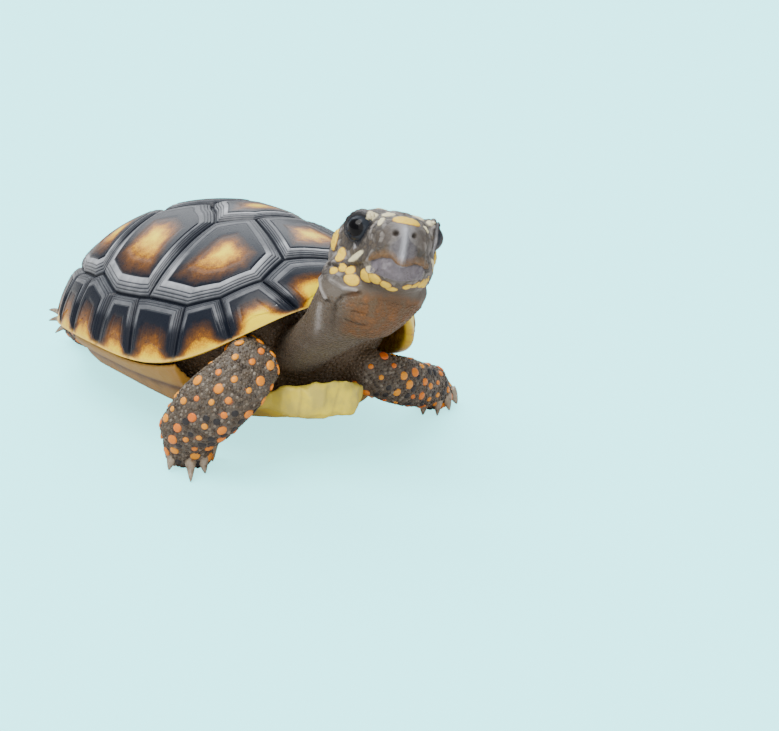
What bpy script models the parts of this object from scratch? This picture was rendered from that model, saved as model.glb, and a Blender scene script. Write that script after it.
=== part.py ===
"""A juvenile red-footed tortoise as a still, life-size museum model.

Units are metres, +Z is up, the head points to -Y and +X is the animal's left.
The shell is worked out in a frame of its own, with the plastron's plane at
z = 0, and then leans and tips on the legs. The flesh is a row of lofts along
the neck and the limbs. The soles lie on the floor at z = 0.
"""
import math

import bmesh
import bpy
from mathutils import Matrix, Vector
from mathutils.bvhtree import BVHTree

MM = 0.001
GAP = 0.0003                       # air between pieces that touch
STANCE = (-6.52, 5.4, 0.0)         # moves all that follows, so that the origin is mid-way under it

# Shell, in its own frame
SHELL_LENGTH = 0.0900
SHELL_WIDTH = 0.0684
SHELL_HEIGHT = 0.0428              # from the plastron's plane to the top
SHELL_WALL = 0.0016
RIM_SIDE = 0.0101                  # height of the carapace rim at the bridge
RIM_FRONT_RISE = 0.0203
RIM_FRONT_POWER = 2.5              # how far the raised front keeps to the middle
RIM_REAR_DROP = 0.0030
PLAN_POWER = 0.78                  # under 1 squares the plan of the shell
DOME_POWER = 1.06
REAR_FLARE = 0.03
SCUTE_RELIEF = 0.0006              # how far a scute stands over its seams
SEAM_STEP = 0.0050                 # longest edge along a seam

# Stance of the shell
SHELL_PIVOT_Z = 0.0198             # pivot above the plastron's plane
SHELL_CENTRE = (0.0, 0.0, 0.0253)  # where the pivot stands over the floor
SHELL_PITCH = math.radians(3.9)    # front up
SHELL_LEAN = math.radians(7.1)     # left side down

# Seams between the marginals, as degrees round the rim from the front
RIM_SEAMS = (18, 41, 62, 80, 91, 103, 116, 130, 146, 159, 171)
# Inner ends of those seams: share of the way out from the top, and degrees
INNER_SEAMS = ((0.68, 31), (0.72, 48), (0.735, 62), (0.725, 83), (0.745, 91), (0.72, 104),
               (0.73, 116), (0.73, 129), (0.74, 143), (0.75, 157), (0.77, 169))
FRONT_POINT = (0.60, 0)            # inner end of the seam between the first pair
V1_CORNER = (0.57, 20)
C1_C2_END = (0.715, 79.5)
C2_C3_END = (0.69, 100.5)
C3_C4_END = (0.72, 126)
C4_V5_END = (0.74, 153)
# Inner corners of the vertebrals, across and along (front is negative)
SPINE_CORNERS = ((0.10, -0.19), (0.255, -0.085), (0.13, 0.055), (0.26, 0.20),
                 (0.13, 0.32), (0.24, 0.44), (0.11, 0.55))

# Plastron, half widths and the height of its middle, from front to rear (mm)
LOBE_STATIONS = ((-42.2, 3.8, 4.3), (-41.2, 6.4, 3.9), (-38.6, 9.2, 3.0), (-34.5, 12.4, 1.8),
                 (-30.0, 15.8, 0.6), (-26.0, 18.8, -0.3))
BRIDGE_STATIONS = (-24.2, -19.0, -13.0, -7.0, -1.0, 5.0, 11.0, 16.2)
REAR_STATIONS = ((18.0, 19.6, -0.6), (22.0, 18.9, -0.5), (27.0, 17.4, 0.0), (32.0, 14.6, 0.8),
                 (35.5, 11.4, 1.5), (37.6, 7.6, 1.9))
BELLY = -0.6                       # middle of the plastron between the bridges (mm)
BRIDGE_START = 20.0                # half width of the flat part between the bridges (mm)
BRIDGE_EDGE = 1.6                  # under side of the bridge, below the rim (mm)
PLASTRON_WALL = 2.2
PLASTRON_SHARES = (-1.0, -0.93, -0.78, -0.6, -0.35, 0.0, 0.35, 0.6, 0.78, 0.93, 1.0)
GULAR_WALL = 6.0                   # thick lip at the front
LIP_START = 30.0                   # where the wall starts to thicken towards the lip
LIP_LENGTH = 9.0
LIP_ROUNDING = 0.30                # share of the wall that its free edges lose

# Trunk, inside the shell
TRUNK_CLEARANCE = 1.2              # to the shell's inner walls (mm)
TRUNK_ROOM = 0.4                   # between the trunk and what is cut by it (mm)
# Rings of its wall: reach at the ends, reach at the sides, share of the way down
TRUNK_WALL = ((1.03, 1.0, 0.35), (1.0, 0.88, 0.7), (0.88, 0.62, 1.0))

# Head frame: middle of the line between the eyes, and how the head is turned
HEAD_PLACE = (2.0, -56.8, 57.2)
HEAD_TURN = math.radians(-28.5)   # to the animal's right
HEAD_PITCH = math.radians(20.0)    # snout up
HEAD_ROLL = math.radians(6.1)      # left side down
EYE_PLACE = (6.7, -0.5, 0.1)
EYE_RADIUS = 3.25
MOUTH_LEVEL = -8.0
MOUTH_CORNER = 3.0
BEAK_TOP = -3.2
BEAK_BACK = -7.6
JAW_BEAK_BACK = -5.0

# Sections of the head across its own length (mm): place along, top, bottom,
# half width, level of the greatest width
HEAD_SECTIONS = (
    (-12.4, -0.9, -3.4, 1.5, -2.0), (-11.7, 0.2, -6.8, 3.1, -3.0), (-9.8, 1.4, -10.6, 5.0, -4.0),
    (-7.2, 2.7, -12.0, 6.5, -4.5), (-4.0, 3.9, -12.8, 7.7, -5.0), (-0.5, 4.8, -13.2, 8.9, -5.5),
    (3.0, 5.2, -13.2, 10.2, -6.0), (6.5, 5.0, -12.8, 11.4, -6.0), (9.6, 4.2, -12.0, 11.4, -5.5),
    (12.2, 2.4, -10.5, 9.8, -5.0), (14.0, -0.8, -8.0, 6.2, -4.5),
)
HEAD_SQUARENESS = 0.86
HEAD_SIDES = 22

LIMB_SQUARENESS = 0.92
LIMB_SIDES = 14
NECK_SIDES = 18
TAIL_SIDES = 10

# Stations along the neck, tail and limbs (mm): centre, half width, half depth,
# way that the wide axis points
NECK_STATIONS = (
    ((-1.0, -22.0, 22.5), 6.6, 6.0, (1, 0, 0)), ((-3.5, -33.0, 25.2), 7.0, 5.8, (1, 0, 0)),
    ((-5.8, -41.0, 29.3), 7.2, 5.2, (1, -0.2, 0)), ((-5.6, -48.4, 34.9), 8.2, 5.2, (1, -0.4, 0)),
    ((-4.6, -53.6, 41.2), 9.6, 6.8, (0.9, -0.5, -0.1)),
    ((0.4, -54.6, 46.6), 10.4, 7.6, (0.84, -0.53, -0.1)),
    ((3.4, -54.0, 51.0), 10.0, 7.2, (0.84, -0.53, -0.1)),
)
TAIL_STATIONS = (
    ((0.0, 26.0, 14.0), 3.0, 2.6, (1, 0, 0)), ((0.4, 34.5, 11.2), 2.6, 2.2, (1, 0, 0)),
    ((1.6, 40.6, 8.0), 2.1, 1.8, (1, 0, 0)), ((4.0, 44.2, 5.0), 1.6, 1.4, (1, 0, 0)),
    ((7.0, 46.6, 2.7), 0.8, 0.7, (1, 0, 0)),
)


# Claws (mm)
CLAW_ROOT_LEVEL = 2.6              # how high a claw leaves the foot
CLAW_RADIUS = 0.95
CLAW_DEPTH = 0.7                   # how far its root reaches into the foot before it is cut
CLAW_TAPER = 0.6
CLAW_RINGS = 3
CLAW_SIDES = 6


class Limb:
    """One leg: its stations, where it is parted, its foot and its claws."""

    def __init__(self, name, foot, stations, split, sole, claws, toe_spread=0.0):
        self.name = name            # node names start with this
        self.foot = foot            # node name of the foot
        self.stations = stations    # root to ankle
        self.split = split          # station at which the upper part ends
        self.sole = sole            # stations from the ankle down to the floor
        self.claws = claws          # tips of the claws
        self.toe_spread = toe_spread    # half the width of the row of toes, 0 for a fan


LIMBS = (
    Limb("foreleg_right", "forefoot_right",
         (((-13.0, -24.0, 22.5), 4.8, 4.2, (0.5, -0.6, -0.6)),
          ((-17.8, -33.5, 25.6), 5.4, 4.4, (0.5, -0.6, -0.6)),
          ((-21.6, -41.2, 27.0), 6.2, 4.6, (0.5, -0.6, -0.6)),
          ((-25.2, -41.2, 23.4), 7.0, 4.6, (0.53, -0.65, -0.5)),
          ((-29.6, -37.4, 17.0), 7.4, 4.5, (0.6, -0.6, -0.4)),
          ((-30.9, -31.8, 10.2), 6.6, 4.4, (0.8, -0.6, -0.1))), 3,
         (((-29.4, -29.4, 5.6), 5.4, 4.4, (0.8, -0.6, 0)),
          ((-28.2, -27.8, 2.4), 5.2, 4.4, (0.8, -0.6, 0)),
          ((-27.0, -26.2, 0.0), 4.3, 3.3, (0.8, -0.6, 0))),
         ((-33.6, -28.6, 0.5), (-32.4, -35.8, 0.3), (-27.4, -33.4, 0.3),
          (-23.0, -29.1, 0.6), (-21.8, -24.6, 0.8))),
    Limb("foreleg_left", "forefoot_left",
         (((9.0, -22.0, 19.0), 5.2, 4.4, (0, -0.3, 1)),
          ((15.5, -30.0, 16.2), 5.4, 4.6, (0, -0.2, 1)),
          ((21.5, -31.0, 13.6), 5.6, 4.6, (0, 0, 1)),
          ((28.0, -29.6, 10.9), 5.8, 4.6, (0, 0, 1)),
          ((34.4, -27.4, 8.2), 5.4, 4.5, (0.1, 0, 1))), 2,
         (((39.8, -24.8, 6.0), 5.3, 4.8, (0.5, 0.3, 1)),
          ((42.6, -23.4, 3.0), 5.2, 4.6, (0.92, 0.39, 0)),
          ((42.6, -22.6, 1.2), 5.0, 4.4, (0.92, 0.39, 0)),
          ((42.6, -22.2, 0.0), 4.4, 3.6, (0.92, 0.39, 0))),
         ((36.0, -27.8, 0.3), (38.8, -29.8, 0.3), (43.4, -28.6, 0.4),
          (47.6, -26.2, 0.5), (49.9, -22.4, 1.0))),
    Limb("hindleg_right", "hindfoot_right",
         (((-11.0, 20.0, 15.0), 5.0, 4.0, (-1, 0, 0)),
          ((-16.0, 28.5, 12.6), 4.4, 3.4, (-1, 0, 0.1)),
          ((-17.8, 35.5, 9.8), 4.4, 3.2, (-1, 0, 0.2)),
          ((-16.8, 41.0, 7.8), 4.5, 3.2, (-1, 0, 0.35))), 2,
         (((-15.4, 45.4, 6.4), 4.6, 2.8, (-0.8, 0, 0.6)),
          ((-14.8, 49.2, 3.9), 5.1, 2.3, (-0.66, 0, 0.75)),
          ((-14.8, 52.0, 3.9), 5.2, 2.2, (-0.6, 0, 0.8)),
          ((-15.6, 55.0, 4.9), 4.4, 1.9, (-0.6, 0, 0.8))),
         ((-19.4, 58.3, 8.4), (-19.8, 57.6, 5.8), (-18.6, 56.4, 2.6), (-13.0, 57.6, 0.6)), 3.6),
    Limb("hindleg_left", "hindfoot_left",
         (((12.0, 18.0, 9.5), 4.8, 3.6, (1, 0, 0)),
          ((19.0, 26.5, 5.8), 3.8, 2.9, (1, 0.5, 0)),
          ((23.6, 32.6, 4.6), 3.6, 2.8, (1, -0.6, 0)),
          ((27.4, 37.6, 4.4), 3.8, 3.2, (1, -0.8, 0))), 2,
         (((30.4, 39.8, 4.6), 4.2, 3.8, (0.5, -0.6, 0.6)),
          ((31.6, 40.2, 2.0), 4.4, 4.0, (0.4, -0.9, 0)),
          ((31.6, 40.2, 0.0), 3.9, 3.5, (0.4, -0.9, 0))),
         ((34.8, 34.0, 0.6), (37.2, 36.0, 0.5), (38.2, 39.0, 0.5), (37.6, 42.2, 0.6))),
)

# Colours of the plain solids
COLOURS = {
    "horn_dark": ((0.045, 0.045, 0.055, 1.0), 0.32),
    "horn_yellow": ((0.55, 0.40, 0.13, 1.0), 0.42),
    "skin": ((0.10, 0.085, 0.070, 1.0), 0.62),
    "beak": ((0.20, 0.17, 0.17, 1.0), 0.35),
    "claw": ((0.22, 0.17, 0.12, 1.0), 0.40),
    "eye": ((0.008, 0.008, 0.010, 1.0), 0.05),
}


def clear_scene():
    """Remove every object of the open scene."""
    for obj in list(bpy.data.objects):
        bpy.data.objects.remove(obj, do_unlink=True)


def collection(name):
    """Return a new collection linked to the scene."""
    group = bpy.data.collections.new(name)
    bpy.context.scene.collection.children.link(group)
    return group


def add_stance(group):
    """Empty that carries every object to its place over the origin."""
    empty = bpy.data.objects.new("stance", None)
    empty.location = Vector(STANCE) * MM
    group.objects.link(empty)


def material(slot):
    """Return the plain Principled material of a slot, made once."""
    if slot in bpy.data.materials:
        return bpy.data.materials[slot]
    colour, roughness = COLOURS[slot]
    mat = bpy.data.materials.new(slot)
    mat.use_nodes = True
    shader = mat.node_tree.nodes["Principled BSDF"]
    shader.inputs["Base Color"].default_value = colour
    shader.inputs["Roughness"].default_value = roughness
    shader.inputs["Metallic"].default_value = 0.0
    return mat


def add_object(name, mesh_data, slot, group):
    """Make an object from a BMesh, with its faces turned outward."""
    bmesh.ops.recalc_face_normals(mesh_data, faces=mesh_data.faces)
    mesh = bpy.data.meshes.new(name)
    mesh_data.to_mesh(mesh)
    mesh_data.free()
    mesh.materials.append(material(slot))
    mesh.shade_smooth()
    obj = bpy.data.objects.new(name, mesh)
    obj.parent = bpy.data.objects["stance"]
    group.objects.link(obj)
    return obj


def add_cutter(name, mesh_data, cutters):
    """Make a hidden object that only cuts others."""
    obj = add_object(name, mesh_data, "skin", cutters)
    obj.hide_render = True
    obj.display_type = "WIRE"
    return obj


def cut(obj, cutter, operation="DIFFERENCE"):
    """Add an exact Boolean by one cutter to an object."""
    mod = obj.modifiers.new(f"{operation.lower()}_{cutter.name}", "BOOLEAN")
    mod.operation = operation
    mod.solver = "EXACT"
    mod.object = cutter


# --- the shell's own frame -------------------------------------------------

def signed_power(value, power):
    """Raise the size of a number to a power and keep its sign."""
    return math.copysign(abs(value) ** power, value)


def polar(share, degrees, side=-1):
    """Disk point from a share of the radius and degrees from the front."""
    angle = math.radians(degrees)
    return Vector((side * share * math.sin(angle), -share * math.cos(angle)))


def dome_point(q, shrink=0.0, drop=None, lift=0.0):
    """Map a point of the unit disk to the dome of the carapace.

    shrink narrows the plan all round, drop lowers the top, lift raises the rim.
    """
    drop = shrink if drop is None else drop
    radius = min(q.length, 1.0)
    way = q.normalized() if q.length > 1e-9 else Vector((0.0, -1.0))
    half_width = SHELL_WIDTH / 2 - shrink
    half_length = SHELL_LENGTH / 2 - shrink
    plan_x = half_width * signed_power(way.x, PLAN_POWER) * (1 + REAR_FLARE * way.y)
    plan_y = half_length * signed_power(way.y, PLAN_POWER)
    spread = math.sin(radius * math.pi / 2) ** DOME_POWER
    rise = max(math.cos(radius * math.pi / 2), 0.0) ** DOME_POWER
    rim = rim_height(way) + lift
    top = SHELL_HEIGHT - drop
    return Vector((plan_x * spread, plan_y * spread, rim + (top - rim) * rise))


def rim_height(way):
    """Height of the carapace rim in one direction from the middle."""
    front = max(-way.y, 0.0) ** RIM_FRONT_POWER
    rear = max(way.y, 0.0) ** 2
    return RIM_SIDE + RIM_FRONT_RISE * front - RIM_REAR_DROP * rear


SHELL_TURN = Matrix.Rotation(SHELL_LEAN, 4, "Y") @ Matrix.Rotation(-SHELL_PITCH, 4, "X")
SHELL_MATRIX = (Matrix.Translation(SHELL_CENTRE) @ SHELL_TURN
                @ Matrix.Translation((0.0, 0.0, -SHELL_PIVOT_Z)))


def scute_layout():
    """Corners of every scute as points of the unit disk, by scute name."""
    corners = {}
    for side, tag in ((-1, "r"), (1, "l")):
        for number, (across, along) in enumerate(SPINE_CORNERS):
            corners[f"s{number}{tag}"] = Vector((side * across, along))
        corners[f"v1{tag}"] = polar(*V1_CORNER, side)
        corners[f"c12{tag}"] = polar(*C1_C2_END, side)
        corners[f"c23{tag}"] = polar(*C2_C3_END, side)
        corners[f"c34{tag}"] = polar(*C3_C4_END, side)
        corners[f"c45{tag}"] = polar(*C4_V5_END, side)
        for number, (share, degrees) in enumerate(INNER_SEAMS, 1):
            corners[f"m{number}{tag}"] = polar(share, degrees, side)
            corners[f"r{number}{tag}"] = polar(1.0, RIM_SEAMS[number - 1], side)
    corners["front"] = polar(*FRONT_POINT)
    corners["rim_front"] = polar(1.0, 0)
    scutes = {
        "vertebral_1": "front v1r s0r s0l v1l",
        "vertebral_2": "s0r s1r s2r s2l s1l s0l",
        "vertebral_3": "s2r s3r s4r s4l s3l s2l",
        "vertebral_4": "s4r s5r s6r s6l s5l s4l",
        "vertebral_5": "s6r c45r m11r m11l c45l s6l",
        "marginal_12": "m11r r11r r11l m11l",
    }
    halves = {
        "costal_1": "v1 m1 m2 m3 c12 s1 s0",
        "costal_2": "c12 m4 m5 c23 s3 s2 s1",
        "costal_3": "c23 m6 m7 c34 s5 s4 s3",
        "costal_4": "c34 m8 m9 m10 c45 s6 s5",
        "marginal_2": "m1 r1 r2 m2",
        "marginal_3": "m2 r2 r3 m3",
        "marginal_4": "m3 r3 r4 m4 c12",
        "marginal_5": "m4 r4 r5 m5",
        "marginal_6": "m5 r5 r6 m6 c23",
        "marginal_7": "m6 r6 r7 m7",
        "marginal_8": "m7 r7 r8 m8 c34",
        "marginal_9": "m8 r8 r9 m9",
        "marginal_10": "m9 r9 r10 m10",
        "marginal_11": "m10 r10 r11 m11 c45",
    }
    for tag in "rl":
        scutes[f"marginal_1{tag}"] = f"front rim_front r1{tag} m1{tag} v1{tag}"
        for name, row in halves.items():
            scutes[name + tag] = " ".join(corner + tag for corner in row.split())
    return corners, {name: row.split() for name, row in scutes.items()}


def seam_points(start, end, on_rim):
    """Disk points from start up to, but without, end."""
    length = (dome_point(start) - dome_point(end)).length
    count = max(1, math.ceil(length / SEAM_STEP))
    points = []
    for step in range(count):
        point = start.lerp(end, step / count)
        points.append(point.normalized() if on_rim else point)
    return points


def areola(name, outline):
    """Disk point where the growth rings of a scute start."""
    middle = sum(outline, Vector((0.0, 0.0))) / len(outline)
    if name.startswith("marginal"):
        return middle.normalized() * 0.93
    if name.startswith("costal"):
        return middle * 0.90
    return middle


def build_carapace(group):
    """Hollow dome with a low plateau on each scute and grooves between."""
    mesh = bmesh.new()
    corners, scutes = scute_layout()
    seams = {}

    def seam_vert(point, height):
        key = (round(point.x, 5), round(point.y, 5))
        if key not in seams:
            seams[key] = mesh.verts.new(raised(point, height))
        return seams[key]

    def raised(point, height):
        place = dome_point(point)
        step = 0.002
        inner = point * (1 - step) if point.length > 0.01 else point + Vector((step, 0))
        across = dome_point(inner) - place
        around = dome_point(Matrix.Rotation(step, 2) @ point + Vector((0, 1e-6))) - place
        normal = across.cross(around)
        if normal.length < 1e-12 or point.length < 0.02:
            normal = Vector((0, 0, 1))
        normal.normalize()
        if normal.z < 0:
            normal.negate()
        return place + normal * height

    for name, row in scutes.items():
        ring = []
        for number, corner in enumerate(row):
            start, end = corners[corner], corners[row[(number + 1) % len(row)]]
            on_rim = start.length > 0.999 and end.length > 0.999
            ordered = (start, end) if (start.x, start.y) < (end.x, end.y) else (end, start)
            points = seam_points(*ordered, on_rim)
            if ordered[0] is not start:
                points = [start] + points[1:][::-1]
            ring += points
        core = areola(name, ring)
        last = [seam_vert(point, 0.0) for point in ring]
        for share, height in ((0.10, 0.75), (0.55, 1.0)):
            level = [mesh.verts.new(raised(point.lerp(core, share), height * SCUTE_RELIEF))
                     for point in ring]
            bridge_rings(mesh, last, level)
            last = level
        cap_ring(mesh, last, mesh.verts.new(raised(core, 1.25 * SCUTE_RELIEF)))
    close_inside(mesh)
    mesh.transform(SHELL_MATRIX)
    return add_object("carapace", mesh, "horn_dark", group)


def cap_ring(mesh, ring, tip):
    """Close a loop of vertices with a fan to one vertex."""
    for one, two in zip(ring, ring[1:] + ring[:1]):
        mesh.faces.new((one, two, tip))


def bridge_rings(mesh, first, second):
    """Join two loops of vertices of the same length by quads."""
    for number, vert in enumerate(first):
        after = (number + 1) % len(first)
        mesh.faces.new((vert, first[after], second[after], second[number]))


def close_inside(mesh):
    """Add the inner wall of the carapace to its open outer skin."""
    rim = sorted({vert for edge in mesh.edges if edge.is_boundary for vert in edge.verts},
                 key=lambda vert: math.atan2(vert.co.x, -vert.co.y))
    ways = [rim_way(vert.co) for vert in rim]
    lip = [mesh.verts.new(dome_point(way, SHELL_WALL, SHELL_WALL, 0.0002)) for way in ways]
    bridge_rings(mesh, rim, lip)
    last = lip
    for share in (0.90, 0.77, 0.62, 0.44, 0.22):
        level = [mesh.verts.new(dome_point(way * share, SHELL_WALL)) for way in ways[::2]]
        if len(level) < len(last):
            join_uneven(mesh, last, level)
        else:
            bridge_rings(mesh, last, level)
        last = level
    cap_ring(mesh, last, mesh.verts.new(dome_point(Vector((0.0, 0.0)), SHELL_WALL)))


def rim_way(place):
    """Direction in the disk of a point on the rim."""
    flare = 1.0
    for _ in range(3):
        across = signed_power(place.x / (SHELL_WIDTH / 2 * flare), 1 / PLAN_POWER)
        along = signed_power(place.y / (SHELL_LENGTH / 2), 1 / PLAN_POWER)
        way = Vector((across, along)).normalized()
        flare = 1 + REAR_FLARE * way.y
    return way


def join_uneven(mesh, dense, sparse):
    """Join a loop to one with half as many vertices."""
    total = len(dense)
    for number, vert in enumerate(sparse):
        after = sparse[(number + 1) % len(sparse)]
        first, middle = dense[2 * number], dense[(2 * number + 1) % total]
        second = dense[(2 * number + 2) % total]
        mesh.faces.new((first, middle, vert))
        mesh.faces.new((middle, second, after, vert))


def plastron_height(across, half_width, middle, rim):
    """Height of the plastron's under side, in mm."""
    start = min(BRIDGE_START, half_width)
    out = max(0.0, abs(across) - start)
    reach = max(half_width - start, 1e-6)
    return middle + (rim - middle) * min(1.0, out / reach) ** 1.35 if rim else middle


def plastron_stations():
    """Rows of (y, half width, middle height, rim height or 0), in mm."""
    rows = [(y, half, middle, 0.0) for y, half, middle in LOBE_STATIONS]
    for y in BRIDGE_STATIONS:
        along = abs(y / 45.0) ** (1 / PLAN_POWER)
        way = Vector((math.sqrt(max(1 - along * along, 0.0)), math.copysign(along, y)))
        edge = dome_point(way)
        rows.append((y, edge.x / MM - 0.9, BELLY, edge.z / MM - BRIDGE_EDGE))
    return rows + [(y, half, middle, 0.0) for y, half, middle in REAR_STATIONS]


def build_plastron(group):
    """Lower shell: front and rear lobes, and the bridges that rise to the rim."""
    mesh = bmesh.new()
    upper, lower = [], []
    for y, half, middle, rim in plastron_stations():
        front = max(0.0, min(1.0, (-y - LIP_START) / LIP_LENGTH))
        wall = PLASTRON_WALL + (GULAR_WALL - PLASTRON_WALL) * front
        low_row, high_row = [], []
        for share in PLASTRON_SHARES:
            x = share * half
            z = plastron_height(x, half, middle, rim)
            edge = max(0.0, (abs(share) - 0.78) / 0.22)
            inset = 0.0 if rim else edge ** 2 * wall * LIP_ROUNDING
            top = z + wall - inset
            if rim and abs(share) > 0.9:
                top = min(top, rim + BRIDGE_EDGE - 0.35)
            low_row.append(mesh.verts.new(Vector((x, y, z + inset)) * MM))
            high_row.append(mesh.verts.new(Vector((x, y, top)) * MM))
        lower.append(low_row)
        upper.append(high_row)
    for rows in (lower, upper):
        for one, two in zip(rows, rows[1:]):
            for number in range(len(PLASTRON_SHARES) - 1):
                mesh.faces.new((one[number], one[number + 1], two[number + 1], two[number]))
    outline_low = lower[0] + [row[-1] for row in lower[1:]] + lower[-1][-2::-1]
    outline_low += [row[0] for row in lower[-2:0:-1]]
    outline_high = upper[0] + [row[-1] for row in upper[1:]] + upper[-1][-2::-1]
    outline_high += [row[0] for row in upper[-2:0:-1]]
    bridge_rings(mesh, outline_low, outline_high)
    mesh.transform(SHELL_MATRIX)
    return add_object("plastron", mesh, "horn_yellow", group)


def trunk_mesh():
    """Soft body that fills the shell, set back in the front and rear openings."""
    mesh = bmesh.new()
    count = 32
    ways = [polar(1.0, 360.0 * step / count) for step in range(count)]
    floor = (PLASTRON_WALL + TRUNK_CLEARANCE) * MM
    rings = []
    for share in (1.0, 0.93, 0.78, 0.58, 0.36, 0.16):
        ring = []
        for way in ways:
            edge = trunk_edge(way) * share
            ring.append(mesh.verts.new(dome_point(way * edge, SHELL_WALL + TRUNK_CLEARANCE * MM)))
        rings.append(ring)
    for outer, inner in zip(rings, rings[1:]):
        bridge_rings(mesh, outer, inner)
    top = mesh.verts.new((0.0, 0.0, SHELL_HEIGHT - SHELL_WALL - TRUNK_CLEARANCE * MM))
    cap_ring(mesh, rings[-1], top)
    last = rings[0]
    for end_reach, side_reach, sink in TRUNK_WALL:
        ring = []
        for vert, way in zip(rings[0], ways):
            reach = end_reach + (side_reach - end_reach) * way.x ** 2
            place = vert.co.copy()
            place.x *= reach
            place.y *= reach
            place.z += (floor - place.z) * sink
            ring.append(mesh.verts.new(place))
        bridge_rings(mesh, last, ring)
        last = ring
    cap_ring(mesh, last, mesh.verts.new((0.0, 0.0, floor)))
    mesh.transform(SHELL_MATRIX)
    return faceted(mesh)


def trunk_edge(way):
    """Share of the dome's radius at which the trunk's wall turns down."""
    front = max(-way.y, 0.0) ** 2
    rear = max(way.y, 0.0) ** 2
    return 0.86 - 0.31 * front - 0.20 * rear


def faceted(mesh):
    """Turn a mesh outward and cut its faces to triangles, so that every copy matches."""
    bmesh.ops.recalc_face_normals(mesh, faces=mesh.faces)
    bmesh.ops.triangulate(mesh, faces=mesh.faces)
    return mesh


def swell(mesh, distance):
    """Move every vertex outward along its normal."""
    mesh.normal_update()
    moves = [vert.normal * distance for vert in mesh.verts]
    for vert, move in zip(mesh.verts, moves):
        vert.co += move
    return mesh


# --- flesh -----------------------------------------------------------------

def loft(mesh, rows, count=LIMB_SIDES):
    """Closed tube through rows of (centre, wide axis, thin axis, power).

    Both axes are vectors as long as the half width and the half depth there.
    """
    rings = []
    for centre, wide, thin, power in rows:
        ring = []
        for step in range(count):
            angle = 2 * math.pi * (step + 0.5) / count
            place = (centre + wide * signed_power(math.cos(angle), power)
                     + thin * signed_power(math.sin(angle), power))
            ring.append(mesh.verts.new(place))
        rings.append(ring)
    for one, two in zip(rings, rings[1:]):
        bridge_rings(mesh, one, two)
    for ring in (rings[0], rings[-1]):
        middle = sum((vert.co for vert in ring), Vector()) / count
        cap_ring(mesh, ring, mesh.verts.new(middle))
    return mesh


def limb_rows(stations):
    """Rows for loft() from stations of (centre, half width, half depth, wide way), in mm.

    The wide axis is set square to the limb's run at each station.
    """
    centres = [Vector(station[0]) for station in stations]
    rows = []
    for number, (_, half_width, half_depth, way) in enumerate(stations):
        before = centres[max(number - 1, 0)]
        after = centres[min(number + 1, len(centres) - 1)]
        run = (after - before).normalized()
        wide = Vector(way)
        wide = (wide - run * wide.dot(run)).normalized()
        thin = run.cross(wide)
        rows.append((centres[number] * MM, wide * half_width * MM, thin * half_depth * MM,
                     LIMB_SQUARENESS))
    return rows


def spline(rows, parts):
    """Smooth rows between the given ones, each span cut into equal parts."""
    smooth = []
    for number in range(len(rows) - 1):
        four = [rows[max(number - 1, 0)], rows[number], rows[number + 1],
                rows[min(number + 2, len(rows) - 1)]]
        for step in range(parts):
            smooth.append(blend_rows(four, step / parts))
    smooth.append(rows[-1])
    return smooth


def blend_rows(four, t):
    """Catmull-Rom blend of four neighbouring rows at t between the middle two."""
    weights = (-0.5 * t + t * t - 0.5 * t ** 3, 1 - 2.5 * t * t + 1.5 * t ** 3,
               0.5 * t + 2 * t * t - 1.5 * t ** 3, -0.5 * t * t + 0.5 * t ** 3)
    return tuple(sum((row[part] * weight for row, weight in zip(four[1:], weights[1:])),
                     four[0][part] * weights[0]) for part in range(4))


def cut_row(row, following, length):
    """Row moved a short way toward the next one, to leave the gap of a joint."""
    run = following[0] - row[0]
    return (row[0] + run.normalized() * length,) + row[1:]


HEAD_MATRIX = (Matrix.Translation(Vector(HEAD_PLACE) * MM) @ Matrix.Rotation(HEAD_TURN, 4, "Z")
               @ Matrix.Rotation(-HEAD_PITCH, 4, "X") @ Matrix.Rotation(HEAD_ROLL, 4, "Y"))


def head_mesh(grow=0.0):
    """Whole head with the jaws shut, before it is parted."""
    mesh = bmesh.new()
    rings = []
    for along, top, bottom, half, level in HEAD_SECTIONS:
        ring = []
        for step in range(HEAD_SIDES):
            angle = 2 * math.pi * (step + 0.5) / HEAD_SIDES
            rise = signed_power(math.sin(angle), HEAD_SQUARENESS)
            height = top - level if rise > 0 else level - bottom
            x = half * signed_power(math.cos(angle), HEAD_SQUARENESS)
            ring.append(mesh.verts.new(Vector((x, along, level + height * rise)) * MM))
        rings.append(ring)
    for one, two in zip(rings, rings[1:]):
        bridge_rings(mesh, one, two)
    for ring in (rings[0], rings[-1]):
        cap_ring(mesh, ring, mesh.verts.new(sum((vert.co for vert in ring), Vector()) / HEAD_SIDES))
    mesh.transform(HEAD_MATRIX)
    return swell(faceted(mesh), grow)


def head_box(low, high):
    """Box in the head's frame, from its lowest and highest corners in mm."""
    mesh = bmesh.new()
    size = [b - a for a, b in zip(low, high)]
    middle = [(a + b) / 2 for a, b in zip(low, high)]
    place = (HEAD_MATRIX @ Matrix.Translation(Vector(middle) * MM)
             @ Matrix.Diagonal((*[side * MM for side in size], 1.0)))
    bmesh.ops.create_cube(mesh, size=1.0, matrix=place)
    return mesh


def ball(place, radius, rings=10, segments=14):
    """Sphere in the head's frame, with its pole outward."""
    mesh = bmesh.new()
    turn = Matrix.Rotation(math.radians(90.0), 4, "Y")
    spot = HEAD_MATRIX @ Matrix.Translation(Vector(place) * MM) @ turn
    bmesh.ops.create_uvsphere(mesh, u_segments=segments, v_segments=rings, radius=radius,
                              matrix=spot)
    return mesh


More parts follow.
